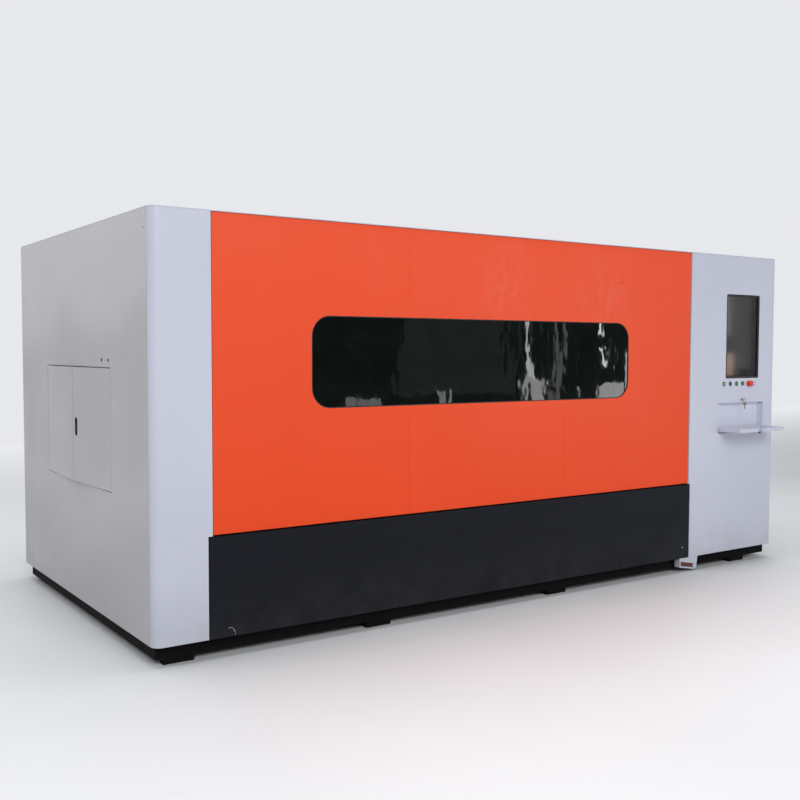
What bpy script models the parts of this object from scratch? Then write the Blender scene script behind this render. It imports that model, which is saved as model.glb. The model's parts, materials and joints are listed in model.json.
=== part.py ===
# Enclosed fiber laser cutting machine, in metres, +Z up, front towards -Y.
# The machine is laid out from its left end (x = 0), its front plane (y = 0) and the floor (z = 0).
# A root empty then carries all of it to the origin, which is the middle of its footprint on the floor.

import math

import bmesh
import bpy
from mathutils import Matrix, Vector

# Enclosure
LENGTH = 4.656
DEPTH = 2.31
HEIGHT = 2.15
UNDER = 0.10  # floor to the lower edge of the skins
SHEET = 0.002
FLANGE = 0.025  # depth of every folded edge
FIT = 0.0003  # clearance between pieces that touch
SEAM = 0.003  # dark joint between two skins
CORNER_RADIUS = 0.045
ARC_STEPS = 8
ROOF_RIM = 0.005
ROOF_PANELS = 3

# Front
LEFT_COLUMN_WIDTH = 0.299
RIGHT_COLUMN_WIDTH = 0.920
EDGE_GAP = 0.005  # dark joint beside the coloured panels
PANEL_RECESS = 0.006
SKIRT_TOP = 0.596
SKIRT_GAP = 0.008  # dark joint above the skirt
SKIRT_LAP_LEFT = 0.018  # reach of the skirt under each column's edge
SKIRT_LAP_RIGHT = 0.010
GROOVE_WIDTH = 0.0015
GROOVE_DEPTH = 0.001
GROOVE_STOP = 0.072  # the panel's seams end this far from the window
WINDOW_LEFT = 0.546  # from the left column to the window
WINDOW_WIDTH = 2.30
WINDOW_BOTTOM = 1.194
WINDOW_HEIGHT = 0.473
WINDOW_RADIUS = 0.105
SEAL_LIP = 0.005
SEAL_BORDER = 0.030
SEAL_DEPTH = 0.010
SEAL_FACE = 0.003
GLASS_BORDER = 0.020

# Left end hatch
HATCH_START = 0.57
HATCH_WIDTH = 1.155
HATCH_BOTTOM = 0.763
HATCH_HEIGHT = 0.637
LEAF_GAP = 0.004
LEAF_DEPTH = 0.020
PIVOT_IN = 0.008  # pivot line behind the leaf's outer face
PIVOT_SIDE = 0.016  # pivot line from the edge of the opening
PIVOT_RADIUS = 0.004
PIVOT_PLAY = 0.0006
PIVOT_REACH = 0.005  # stub beyond the flange it turns in
HATCH_AJAR = math.radians(2.3)
SLOT_FROM_EDGE = 0.050
SLOT_BOTTOM = 1.021
SLOT_HEIGHT = 0.099
SLOT_WIDTH = 0.034
CABLE_HOLE_RADIUS = 0.008
CABLE_HOLE_RISE = 0.038
CABLE_HOLE_PLACES = (0.032, 0.139)  # from the hatch's front edge

# Base
SILL_WIDTH = 0.080
SILL_HEIGHT = 0.060
APRON_SET_BACK = 0.030  # the lower part of the long sills, from their front
APRON_BOTTOM = 0.030
CROSS_SILL_WIDTH = 0.120
LEG_WIDTH = 0.156
LEG_PLACES = (0.145, 1.283, 2.590, 4.330)
MIDDLE_SILL_PLACE = 2.32

# Bed
BED_START = 0.060
BED_END_SPACE = 0.110
BED_BEAM_WIDTH = 0.100
BED_FRONT = 0.260
BED_CLEAR_WIDTH = 1.640
BED_TOP = 0.860
TRACK_HEIGHT = 0.620
TRACK_THICKNESS = 0.020
TRACK_REACH = 0.060
END_MEMBER_WIDTH = 0.080
END_MEMBER_BOTTOM = 0.220
END_MEMBER_TOP = 0.560
RAIL_WIDTH = 0.034
RAIL_HEIGHT = 0.030
RAIL_WAIST = 0.005
RAIL_WAIST_HALF = 0.006  # half the height of the waist
RAIL_START = 0.100
RAIL_LENGTH = 3.500

# Gantry
GANTRY_START = 0.110
TRUCK_LENGTH = 0.360
TRUCK_WIDTH = 0.110
TRUCK_TOP = 0.960
TRUCK_CLEARANCE = 0.008
RUNNING = 0.0006  # clearance of sliding faces
BEAM_INSET = 0.090
BEAM_WIDTH = 0.180
BEAM_HEIGHT = 0.240
BEAM_OVERHANG = 0.010
BEAM_WALL = 0.010
CROSS_RAIL_HEIGHT = 0.020
CROSS_RAIL_DEPTH = 0.015
CROSS_RAIL_INSET = 0.045
CARRIAGE_WIDTH = 0.160
CARRIAGE_PLATE = 0.018
CARRIAGE_CLEAR = 0.005  # from the truck to the carriage at its end stop
CHEEK_WIDTH = 0.016
CHEEK_DEPTH = 0.060
MOTOR_WIDTH = 0.080
MOTOR_HEIGHT = 0.120
SLIDE_DEPTH = 0.070
SLIDE_BOTTOM = 0.990
SLIDE_HEIGHT = 0.220
HEAD_RADIUS = 0.036
NOZZLE_TIP = 0.950
HEAD_HEIGHT = 0.290
HEAD_PROFILE = (  # radius, and height above the nozzle's tip
    (0.0036, 0), (0.015, 0.020), (0.015, 0.031), (0.022, 0.031), (0.022, 0.049), (HEAD_RADIUS, 0.076),
    (HEAD_RADIUS, 0.180), (0.029, 0.191), (0.029, 0.249), (0.018, 0.267), (0.018, HEAD_HEIGHT),
)

# Slat pallet
PALLET_START = 0.450
PALLET_LENGTH = 3.100
PALLET_SIDE_GAP = 0.020
PALLET_RAIL_WIDTH = 0.050
PALLET_RAIL_BOTTOM = 0.650
PALLET_RAIL_TOP = 0.750
WHEEL_WIDTH = 0.028
WHEEL_COUNT = 4
WHEEL_INSET = 0.150
SLAT_PITCH = 0.125
SLAT_THICKNESS = 0.003
SLAT_BOTTOM = 0.690
SLAT_TIP = 0.800
TOOTH_PITCH = 0.120
TOOTH_DEPTH = 0.022
TOOTH_FLAT = 0.008
SLAT_SEAT = 0.010

# Right end
PORT_SIDE_GAP = 0.030  # the port is this much wider than the bed's mouth on each side
PORT_BOTTOM = 0.600
PORT_HEIGHT = 0.650
DOOR_ABOVE_SLATS = 0.030
DOOR_LAP = 0.050
DOOR_THICKNESS = 0.020
GUIDE_THICKNESS = 0.003
GUIDE_LAP = 0.048
GUIDE_BOTTOM = 0.620
GUIDE_TOP = 1.780

# Rear
SERVICE_START = 1.350
SERVICE_WIDTH = 1.500
SERVICE_BOTTOM = 0.300
SERVICE_HEIGHT = 1.500
LOUVRE_COUNT = 7
LOUVRE_WIDTH = 0.300
LOUVRE_HEIGHT = 0.012
LOUVRE_PITCH = 0.040
LOUVRE_BOTTOM = 0.450
CABINET_MARGIN = 0.050
CABINET_DEPTH = 0.150
CABINET_TOP = 1.850
CABINET_WALL = 0.003
SOURCE_GAP = 0.100
SOURCE_WIDTH = 0.700
SOURCE_HEIGHT = 0.480
SOURCE_DEPTH = 0.145
EQUIPMENT_FROM_REAR = 0.190
CABINET_BLOCKS = (  # place and rise in the cabinet, then width, height and depth
    (0.096, 0.30, 0.320, 0.36, 0.085), (0.480, 0.30, 0.320, 0.30, 0.070), (0.864, 0.30, 0.256, 0.30, 0.070),
    (1.184, 0.30, 0.320, 0.24, 0.090), (0.096, 0.80, 1.376, 0.09, 0.060), (0.096, 1.05, 0.960, 0.07, 0.050),
)

# Control column
SCREEN_LEFT = 0.367  # from the column's left edge
SCREEN_WIDTH = 0.362
SCREEN_ABOVE_BUTTONS = 0.037
SCREEN_HEIGHT = 0.581
SCREEN_RADIUS = 0.012
BEZEL_LIP = 0.014
BEZEL_BORDER = 0.015
BEZEL_DEPTH = 0.008
DISPLAY_DEPTH = 0.030
BUTTON_FIRST = 0.351
BUTTON_PITCH = 0.067
BUTTON_COUNT = 4
BUTTONS_ABOVE_LOCK = 0.111
BUTTON_RADIUS = 0.0095
BEZEL_FLANGE = 0.0155
BEZEL_BARREL = 0.0115
BUTTON_TRAVEL = 0.003
BUTTON_STAND = 0.007
CONTROL_FLANGE = 0.004
CONTROL_BARREL = 0.030
STOP_PLACE = 0.614
STOP_RADIUS = 0.020
STOP_STEM = 0.006
STOP_STAND = 0.034
STOP_TRAVEL = 0.005
STOP_NECK = 0.012
STOP_SHOULDER = 0.017
STOP_CROWN = 0.010
SOCKET_LEFT = 0.657
SOCKET_WIDTH = 0.042
SOCKET_HEIGHT = 0.034
SOCKET_BELOW_BUTTONS = 0.003
SOCKET_SLOT_HEIGHT = 0.006
SOCKET_SLOT_SPACING = 0.018
LOCK_PLACE = 0.545
LOCK_ABOVE_RECESS = 0.021
LOCK_RADIUS = 0.010
PLUG_RADIUS = 0.0065
KEY_THICKNESS = 0.0016
KEY_HEIGHT = 0.0065
KEY_BOW = 0.022

# Keyboard recess and flap
RECESS_LEFT = 0.294
RECESS_WIDTH = 0.492
RECESS_BOTTOM = 0.925
RECESS_HEIGHT = 0.209
RECESS_DEPTH = 0.037
RECESS_STEP_DEPTH = 0.0245
RECESS_STEP = 0.014
LINER_WALL = 0.010
FLAP_SIDE_GAP = 0.004
FLAP_THICKNESS = 0.024
FLAP_OUT = 0.176
FLAP_PIVOT_RISE = 0.0225  # above the lower edge of the recess
FLAP_PIVOT_IN = 0.008
FLAP_PIVOT_UP = 0.008  # above the flap's underside
FLAP_PIVOT_RADIUS = 0.003
FLAP_SKIN = 0.0015
NOTCH_WIDTH = 0.060
LATCH_INSET = 0.022
LATCH_RADIUS = 0.009
LATCH_SHAFT = 0.004
LATCH_KNOB = 0.012
CAM_REACH = 0.028
CAM_WIDTH = 0.010
CAM_THICKNESS = 0.0025
CAM_RISE = 0.004  # above the flap's skin

# Cable trough under the skirt
TROUGH_LEFT = 3.667
TROUGH_WIDTH = 0.180
TROUGH_DEPTH = 0.046
TROUGH_LEFT_BOTTOM = 0.037
TROUGH_LOW_PLACE = 0.147  # its lowest corner, from the left
TROUGH_LOW_BOTTOM = 0.010
TROUGH_HEEL_PLACE = 0.168
TROUGH_HEEL_BOTTOM = 0.022
TROUGH_WALL = 0.010
TROUGH_LIP = 0.0115  # under the window
TROUGH_WINDOW_HEIGHT = 0.0285
TROUGH_BLOCK_INSET = 0.006

# Places worked out from the sizes above
PLATE_TOP = HEIGHT - ROOF_RIM - FIT
COLUMN_X = LENGTH - RIGHT_COLUMN_WIDTH
PANEL_X0 = LEFT_COLUMN_WIDTH + EDGE_GAP
PANEL_X1 = COLUMN_X - EDGE_GAP
PANEL_BOTTOM = SKIRT_TOP + SKIRT_GAP
SKIRT_X0 = LEFT_COLUMN_WIDTH - SKIRT_LAP_LEFT
SKIRT_X1 = COLUMN_X + SKIRT_LAP_RIGHT
WINDOW_X0 = LEFT_COLUMN_WIDTH + WINDOW_LEFT
WINDOW_X1 = WINDOW_X0 + WINDOW_WIDTH
WINDOW_Z1 = WINDOW_BOTTOM + WINDOW_HEIGHT
END_WALL_Y0 = CORNER_RADIUS + SEAM
HATCH_END = HATCH_START + HATCH_WIDTH
HATCH_TOP = HATCH_BOTTOM + HATCH_HEIGHT
INNER = FLANGE + FIT
SILL_TOP = UNDER + SILL_HEIGHT
BED_X1 = LENGTH - BED_END_SPACE
BED_INNER_FRONT = BED_FRONT + BED_BEAM_WIDTH
BED_INNER_REAR = BED_INNER_FRONT + BED_CLEAR_WIDTH
BED_REAR = BED_INNER_REAR + BED_BEAM_WIDTH
FRONT_RAIL_Y = BED_FRONT + BED_BEAM_WIDTH / 2
REAR_RAIL_Y = BED_REAR - BED_BEAM_WIDTH / 2
RAIL_TOP = BED_TOP + FIT + RAIL_HEIGHT
BEAM_X0 = GANTRY_START + BEAM_INSET
BEAM_X1 = BEAM_X0 + BEAM_WIDTH
BEAM_TOP = TRUCK_TOP + BEAM_HEIGHT
CARRIAGE_X0 = BEAM_X1 + RUNNING
PLATE_X0 = BEAM_X1 + CROSS_RAIL_DEPTH + RUNNING
PLATE_X1 = PLATE_X0 + CARRIAGE_PLATE
CARRIAGE_Y0 = FRONT_RAIL_Y + TRUCK_WIDTH / 2 + CARRIAGE_CLEAR
CARRIAGE_Y1 = CARRIAGE_Y0 + CARRIAGE_WIDTH
CARRIAGE_MIDDLE = (CARRIAGE_Y0 + CARRIAGE_Y1) / 2
SLIDE_X0 = PLATE_X1 + RUNNING
SLIDE_X1 = SLIDE_X0 + SLIDE_DEPTH
HEAD_X = SLIDE_X1 + FIT + HEAD_RADIUS
PALLET_Y0 = BED_INNER_FRONT + PALLET_SIDE_GAP
PALLET_Y1 = BED_INNER_REAR - PALLET_SIDE_GAP
PALLET_X1 = PALLET_START + PALLET_LENGTH
PORT_Y0 = BED_INNER_FRONT - PORT_SIDE_GAP
PORT_Y1 = BED_INNER_REAR + PORT_SIDE_GAP
PORT_TOP = PORT_BOTTOM + PORT_HEIGHT
GUIDE_X1 = LENGTH - INNER
GUIDE_X0 = GUIDE_X1 - DOOR_THICKNESS - 2 * (GUIDE_THICKNESS + RUNNING)
SERVICE_END = SERVICE_START + SERVICE_WIDTH
SERVICE_TOP = SERVICE_BOTTOM + SERVICE_HEIGHT
CABINET_X0 = SERVICE_START - CABINET_MARGIN
CABINET_X1 = SERVICE_END + CABINET_MARGIN
REAR_EQUIPMENT = DEPTH - EQUIPMENT_FROM_REAR
RECESS_TOP = RECESS_BOTTOM + RECESS_HEIGHT
LOCK_HEIGHT = RECESS_TOP + LOCK_ABOVE_RECESS
BUTTON_HEIGHT = LOCK_HEIGHT + BUTTONS_ABOVE_LOCK
SOCKET_MIDDLE = BUTTON_HEIGHT - SOCKET_BELOW_BUTTONS
SCREEN_BOTTOM = BUTTON_HEIGHT + SCREEN_ABOVE_BUTTONS
SCREEN_X0 = COLUMN_X + SCREEN_LEFT
SCREEN_X1 = SCREEN_X0 + SCREEN_WIDTH
SCREEN_TOP = SCREEN_BOTTOM + SCREEN_HEIGHT
STOP_X = COLUMN_X + STOP_PLACE
SOCKET_X0 = COLUMN_X + SOCKET_LEFT
LOCK_X = COLUMN_X + LOCK_PLACE
RECESS_X0 = COLUMN_X + RECESS_LEFT
RECESS_X1 = RECESS_X0 + RECESS_WIDTH
RECESS_MIDDLE = (RECESS_X0 + RECESS_X1) / 2
LINER_Y0 = SHEET + FIT
FLAP_PIVOT_Z = RECESS_BOTTOM + FLAP_PIVOT_RISE
FLAP_Z0 = FLAP_PIVOT_Z - FLAP_PIVOT_UP
LATCH_Y = -FLAP_OUT + LATCH_INSET
LEAF_REACH = HATCH_WIDTH / 2 - PIVOT_SIDE - LEAF_GAP / 2
HATCH_BULGE = LEAF_REACH * math.sin(HATCH_AJAR) - PIVOT_IN * (1 - math.cos(HATCH_AJAR))

WHITE = ("white_powder_coat", (0.56, 0.57, 0.66), 0.42, 0.0)
ORANGE = ("orange_powder_coat", (0.80, 0.09, 0.03), 0.40, 0.0)
CHARCOAL = ("charcoal_powder_coat", (0.016, 0.018, 0.023), 0.45, 0.0)
BLACK_STEEL = ("black_painted_steel", (0.01, 0.01, 0.011), 0.55, 0.0)
BED_PAINT = ("grey_bed_paint", (0.22, 0.23, 0.24), 0.50, 0.0)
STEEL = ("bright_steel", (0.55, 0.55, 0.56), 0.30, 1.0)
ALUMINIUM = ("milled_aluminium", (0.62, 0.63, 0.65), 0.35, 1.0)
RUBBER = ("black_rubber", (0.012, 0.012, 0.012), 0.75, 0.0)
LASER_GLASS = ("laser_safe_glass", (0.004, 0.010, 0.008), 0.05, 0.0)
BLACK_PLASTIC = ("black_plastic", (0.012, 0.012, 0.013), 0.35, 0.0)
SCREEN_GLASS = ("display_glass", (0.010, 0.010, 0.012), 0.08, 0.0)
GREEN = ("green_lens", (0.02, 0.22, 0.08), 0.25, 0.0)
RED = ("red_plastic", (0.55, 0.01, 0.01), 0.35, 0.0)
AMBER = ("amber_plastic", (0.85, 0.30, 0.02), 0.35, 0.0)
CHROME = ("chrome", (0.60, 0.60, 0.62), 0.15, 1.0)
BLOCK_RED = ("dark_red_plastic", (0.10, 0.008, 0.006), 0.50, 0.0)
GALVANISED = ("galvanised_steel", (0.45, 0.46, 0.47), 0.45, 1.0)

for leftover in list(bpy.data.objects):
    bpy.data.objects.remove(leftover, do_unlink=True)

machine = bpy.data.objects.new("machine", None)
bpy.context.scene.collection.objects.link(machine)
machine.location = (-(LENGTH - HATCH_BULGE) / 2, -(DEPTH - FLAP_OUT) / 2, 0)


def finish_material(finish):
    """One Principled material for each finish, shared by the pieces that have it."""
    name, colour, roughness, metallic = finish
    found = bpy.data.materials.get(name)
    if found:
        return found
    made = bpy.data.materials.new(name)
    made.use_nodes = True
    shader = made.node_tree.nodes["Principled BSDF"]
    shader.inputs["Base Color"].default_value = (*colour, 1)
    shader.inputs["Roughness"].default_value = roughness
    shader.inputs["Metallic"].default_value = metallic
    return made


def piece(name, bm, finish, pivot=(0, 0, 0), turned=0.0):
    """Make an object of a mesh drawn in machine places, with its origin on pivot."""
    bmesh.ops.translate(bm, verts=bm.verts, vec=-Vector(pivot))
    bmesh.ops.recalc_face_normals(bm, faces=bm.faces)
    mesh = bpy.data.meshes.new(name)
    bm.to_mesh(mesh)
    bm.free()
    mesh.shade_smooth()
    mesh.set_sharp_from_angle(angle=math.radians(35))
    made = bpy.data.objects.new(name, mesh)
    bpy.context.scene.collection.objects.link(made)
    made.parent = machine
    made.location = pivot
    made.rotation_euler = (0, 0, turned)
    if finish:
        mesh.materials.append(finish_material(finish))
    return made


def change(target, bm, operation):
    """Cut a helper shape out of target, or join it on."""
    helper = piece(f"{target.name}_helper", bm, None, target.location, target.rotation_euler.z)
    helper.hide_render = True
    helper.display_type = "WIRE"
    boolean = target.modifiers.new(operation.lower(), "BOOLEAN")
    boolean.operation = operation
    boolean.solver = "EXACT"
    boolean.object = helper


def cut(target, bm):
    change(target, bm, "DIFFERENCE")


def join(target, bm):
    change(target, bm, "UNION")


def prism(outline, axis, start, end):
    """Extrude a closed outline along an axis: X takes (y, z), Y takes (x, z), Z takes (x, y)."""
    bm = bmesh.new()
    along = "XYZ".index(axis)
    corners = []
    for u, v in outline:
        point = [u, v]
        point.insert(along, start)
        corners.append(bm.verts.new(point))
    face = bm.faces.new(corners)
    grown = bmesh.ops.extrude_face_region(bm, geom=[face])
    moved = [item for item in grown["geom"] if isinstance(item, bmesh.types.BMVert)]
    step = {"X": (end - start, 0, 0), "Y": (0, end - start, 0), "Z": (0, 0, end - start)}[axis]
    bmesh.ops.translate(bm, verts=moved, vec=step)
    return bm


def box(low, high):
    (x0, y0, z0), (x1, y1, z1) = low, high
    return prism([(x0, y0), (x1, y0), (x1, y1), (x0, y1)], "Z", z0, z1)


def merged(*shapes):
    """Put several separate shapes into one mesh, for one cut or one join."""
    whole = bmesh.new()
    for shape in shapes:
        carrier = bpy.data.meshes.new("carrier")
        shape.to_mesh(carrier)
        shape.free()
        whole.from_mesh(carrier)
        bpy.data.meshes.remove(carrier)
    return whole


def hollow(bm, direction, wall, floor=None):
    """Open a prism towards direction, leaving walls and a floor."""
    toward = Vector(direction)
    bmesh.ops.recalc_face_normals(bm, faces=bm.faces)
    mouth = max(bm.faces, key=lambda face: face.normal.dot(toward) * 1e3 + face.calc_area())
    reach = [vert.co.dot(toward) for vert in bm.verts]
    depth = max(reach) - min(reach) - (wall if floor is None else floor)
    bmesh.ops.inset_region(bm, faces=[mouth], thickness=wall, use_even_offset=True)
    grown = bmesh.ops.extrude_face_region(bm, geom=[mouth])
    bmesh.ops.delete(bm, geom=[mouth], context="FACES_ONLY")
    moved = [item for item in grown["geom"] if isinstance(item, bmesh.types.BMVert)]
    bmesh.ops.translate(bm, verts=moved, vec=-toward * depth)
    return bm


def pan(low, high, direction, wall=SHEET, floor=None):
    """A folded sheet: a flat face with its four edges turned towards direction."""
    return hollow(box(low, high), direction, wall, floor)


def arc(centre, radius, first, last, steps=ARC_STEPS):
    """Points of a round stretch, from one angle in degrees to another."""
    angles = [math.radians(first + (last - first) * n / steps) for n in range(steps + 1)]
    return [(centre[0] + radius * math.cos(a), centre[1] + radius * math.sin(a)) for a in angles]


def rounded(left, right, bottom, top, radius, steps=ARC_STEPS):
    """The outline of a rectangle with round corners."""
    outline = []
    corners = ((right, top, 0), (left, top, 90), (left, bottom, 180), (right, bottom, 270))
    for x, y, first in corners:
        inside_x = x - radius if x == right else x + radius
        inside_y = y - radius if y == top else y + radius
        outline += arc((inside_x, inside_y), radius, first, first + 90, steps)
    return outline


def grown(left, right, bottom, top, by, radius, steps=ARC_STEPS):
    """A round-cornered outline moved outwards by a distance."""
    return rounded(left - by, right + by, bottom - by, top + by, max(radius + by, 0.001), steps)


def folded(path, thickness=SHEET):
    """The section of a folded sheet: path is its outer face, and the metal lies to its left."""
    points = [Vector(point) for point in path]
    inner = []
    for n, point in enumerate(points):
        before = (point - points[n - 1]).normalized() if n else None
        after = (points[n + 1] - point).normalized() if n + 1 < len(points) else None
        along = (before + after).normalized() if before and after else (before or after)
        lean = along.dot(after or before)
        inner.append(point + Vector((-along.y, along.x)) * thickness / lean)
    return [tuple(point) for point in points + inner[::-1]]


def turned_shape(profile, centre, direction, steps=16):
    """Turn a profile of (radius, distance) about a line through centre; its ends lie on the line."""
    bm = bmesh.new()
    points = [bm.verts.new((radius, 0, distance)) for radius, distance in profile]
    edges = [bm.edges.new(pair) for pair in zip(points, points[1:])]
    bmesh.ops.spin(
        bm, geom=points + edges, cent=(0, 0, 0), axis=(0, 0, 1), angle=math.tau, steps=steps,
        use_merge=True, use_duplicate=False,
    )
    bmesh.ops.remove_doubles(bm, verts=bm.verts, dist=1e-6)
    turn = Vector((0, 0, 1)).rotation_difference(Vector(direction)).to_matrix().to_4x4()
    bmesh.ops.transform(bm, matrix=Matrix.Translation(centre) @ turn, verts=bm.verts)
    return bm


def rod(centre, direction, radius, length, steps=12):
    """A plain round bar that starts at centre."""
    return turned_shape([(0, 0), (radius, 0), (radius, length), (0, length)], centre, direction, steps)


def flanged_opening(target, low, high, inward):
    """Cut an opening in a sheet wall and turn its edges inwards; low and high are the opening's corners."""
    axis = max(range(3), key=lambda n: abs(inward[n]))
    ring_low = [value - SHEET for value in low]
    ring_high = [value + SHEET for value in high]
    ring_low[axis], ring_high[axis] = low[axis], high[axis]
    through_low, through_high = list(low), list(high)
    through_low[axis] -= FLANGE
    through_high[axis] += FLANGE
    join(target, box(ring_low, ring_high))
    cut(target, box(through_low, through_high))


def corner_columns():
    """The white columns at both ends of the front, each one folded sheet with a round corner."""
    r = CORNER_RADIUS
    left = [(LEFT_COLUMN_WIDTH, FLANGE), (LEFT_COLUMN_WIDTH, 0)]
    left += arc((r, r), r, 270, 180) + [(FLANGE, r)]
    outline = folded(left[::-1])
    column = piece("left_column", prism(outline, "Z", UNDER, PLATE_TOP), WHITE)
    narrow_foot(column, LEFT_COLUMN_WIDTH, SKIRT_X0 - EDGE_GAP)
    right = [(COLUMN_X, FLANGE), (COLUMN_X, 0)]
    right += arc((LENGTH - r, r), r, 270, 360) + [(LENGTH - FLANGE, r)]
    column = piece("right_column", prism(folded(right), "Z", UNDER, PLATE_TOP), WHITE)
    narrow_foot(column, COLUMN_X, SKIRT_X1 + EDGE_GAP)
    holes = [
        prism(rounded(SCREEN_X0, SCREEN_X1, SCREEN_BOTTOM, SCREEN_TOP, SCREEN_RADIUS, 3), "Y", -SEAM, SEAM),
        box((RECESS_X0, -SEAM, RECESS_BOTTOM), (RECESS_X1, SEAM, RECESS_TOP)),
        box(
            (SOCKET_X0, -SEAM, SOCKET_MIDDLE - SOCKET_HEIGHT / 2),
            (SOCKET_X0 + SOCKET_WIDTH, SEAM, SOCKET_MIDDLE + SOCKET_HEIGHT / 2),
        ),
    ]
    for x, z in control_places():
        radius = LOCK_RADIUS if z == LOCK_HEIGHT else BEZEL_BARREL
        holes.append(rod((x, -SEAM, z), (0, 1, 0), radius + SHEET / 4, 2 * SEAM, 16))
    cut(column, merged(*holes))


def narrow_foot(column, edge, foot_edge):
    """Narrow a column beside the skirt, from edge to foot_edge, and turn the new edge in again."""
    side = 1 if edge > foot_edge else -1
    top = SKIRT_TOP + SEAM
    past, inner = edge + side * SEAM, foot_edge - side * SHEET
    cut(column, box((min(foot_edge, past), -SEAM, UNDER - SEAM), (max(foot_edge, past), FLANGE + SEAM, top)))
    join(column, box((min(foot_edge, inner), 0, UNDER), (max(foot_edge, inner), FLANGE, top)))


def control_places():
    """Where the buttons, the stop button and the key lock stand on the column."""
    buttons = [(COLUMN_X + BUTTON_FIRST + n * BUTTON_PITCH, BUTTON_HEIGHT) for n in range(BUTTON_COUNT)]
    return buttons + [(STOP_X, BUTTON_HEIGHT), (LOCK_X, LOCK_HEIGHT)]


def front_panels():
    """The orange panel with its window and part seams, and the charcoal skirt below it."""
    y0, y1 = PANEL_RECESS, PANEL_RECESS + FLANGE
    panel = piece(
        "front_panel", pan((PANEL_X0, y0, PANEL_BOTTOM), (PANEL_X1, y1, PLATE_TOP), (0, 1, 0)), ORANGE
    )
    window = rounded(WINDOW_X0, WINDOW_X1, WINDOW_BOTTOM, WINDOW_Z1, WINDOW_RADIUS)
    cut(panel, prism(window, "Y", 0, PANEL_RECESS + SEAM))
    grooves = []
    for third in (1, 2):
        x = PANEL_X0 + (PANEL_X1 - PANEL_X0) * third / 3
        for low, high in (
            (PANEL_BOTTOM - SEAM, WINDOW_BOTTOM - GROOVE_STOP),
            (WINDOW_Z1 + GROOVE_STOP, PLATE_TOP + SEAM),
        ):
            grooves.append(box((x, 0, low), (x + GROOVE_WIDTH, y0 + GROOVE_DEPTH, high)))
    cut(panel, merged(*grooves))
    piece(
        "front_skirt", pan((SKIRT_X0, 0, UNDER), (SKIRT_X1, FLANGE, SKIRT_TOP), (0, 1, 0)), CHARCOAL
    )


def window_parts():
    """The glass in its rubber seal, against the back of the orange panel."""
    sides = (WINDOW_X0, WINDOW_X1, WINDOW_BOTTOM, WINDOW_Z1)
    y0 = PANEL_RECESS + SHEET + FIT
    seal = piece(
        "window_seal", prism(grown(*sides, SEAL_BORDER, WINDOW_RADIUS), "Y", y0, y0 + SEAL_DEPTH), RUBBER
    )
    glass_y0 = y0 + SEAL_FACE
    cut(seal, prism(grown(*sides, GLASS_BORDER, WINDOW_RADIUS), "Y", glass_y0, y0 + SEAL_DEPTH + SEAM))
    cut(seal, prism(grown(*sides, -SEAL_LIP, WINDOW_RADIUS), "Y", 0, y0 + SEAL_DEPTH))
    glass = grown(*sides, GLASS_BORDER - 2 * FIT, WINDOW_RADIUS)
    piece("window_glass", prism(glass, "Y", glass_y0 + FIT, y0 + SEAL_DEPTH), LASER_GLASS)


def end_walls():
    """The left end wall with its hatch opening, and the right end wall with the pallet port."""
    y0, y1 = END_WALL_Y0, DEPTH
    left = piece("left_end_wall", pan((0, y0, UNDER), (FLANGE, y1, PLATE_TOP), (1, 0, 0)), WHITE)
    flanged_opening(left, (0, HATCH_START, HATCH_BOTTOM), (FLANGE, HATCH_END, HATCH_TOP), (1, 0, 0))
    holes = [
        rod((PIVOT_IN, y, HATCH_BOTTOM - SEAM), (0, 0, 1), PIVOT_RADIUS + PIVOT_PLAY, HATCH_HEIGHT + 2 * SEAM)
        for y in (HATCH_START + PIVOT_SIDE, HATCH_END - PIVOT_SIDE)
    ]
    holes += [
        rod(
            (-SEAM, HATCH_START + place, HATCH_TOP + CABLE_HOLE_RISE), (1, 0, 0), CABLE_HOLE_RADIUS, 3 * SEAM
        )
        for place in CABLE_HOLE_PLACES
    ]
    cut(left, merged(*holes))
    right = piece(
        "right_end_wall", pan((LENGTH - FLANGE, y0, UNDER), (LENGTH, y1, PLATE_TOP), (-1, 0, 0)), WHITE
    )
    flanged_opening(right, (LENGTH - FLANGE, PORT_Y0, PORT_BOTTOM), (LENGTH, PORT_Y1, PORT_TOP), (-1, 0, 0))


def pivot_stubs(x, y, bottom, top):
    """Short pins at the ends of a leaf, which turn in the flanges of its opening."""
    reach = LEAF_GAP + SHEET + PIVOT_REACH
    return merged(
        rod((x, y, bottom - reach), (0, 0, 1), PIVOT_RADIUS, reach + SHEET),
        rod((x, y, top - SHEET), (0, 0, 1), PIVOT_RADIUS, reach + SHEET),
    )


def obround(middle, bottom, top, width, steps=6):
    """The outline of an upright slot with round ends."""
    r = width / 2
    return arc((middle, top - r), r, 0, 180, steps) + arc((middle, bottom + r), r, 180, 360, steps)


def hatch_leaves():
    """Two folded leaves that meet in the middle of the hatch and stand a little open."""
    bottom, top = HATCH_BOTTOM + LEAF_GAP, HATCH_TOP - LEAF_GAP
    middle = (HATCH_START + HATCH_END) / 2
    for name, edge, side in (("hatch_front_leaf", HATCH_START, 1), ("hatch_rear_leaf", HATCH_END, -1)):
        near = edge + side * LEAF_GAP
        free = middle - side * LEAF_GAP / 2
        pivot = (PIVOT_IN, edge + side * PIVOT_SIDE, bottom)
        shape = pan((0, min(near, free), bottom), (LEAF_DEPTH, max(near, free), top), (1, 0, 0))
        leaf = piece(name, shape, WHITE, pivot, side * HATCH_AJAR)
        join(leaf, pivot_stubs(pivot[0], pivot[1], bottom, top))
        if side > 0:
            slot = obround(free - SLOT_FROM_EDGE, SLOT_BOTTOM, SLOT_BOTTOM + SLOT_HEIGHT, SLOT_WIDTH)
            cut(leaf, prism(slot, "X", -SEAM, SHEET + SEAM))


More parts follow.
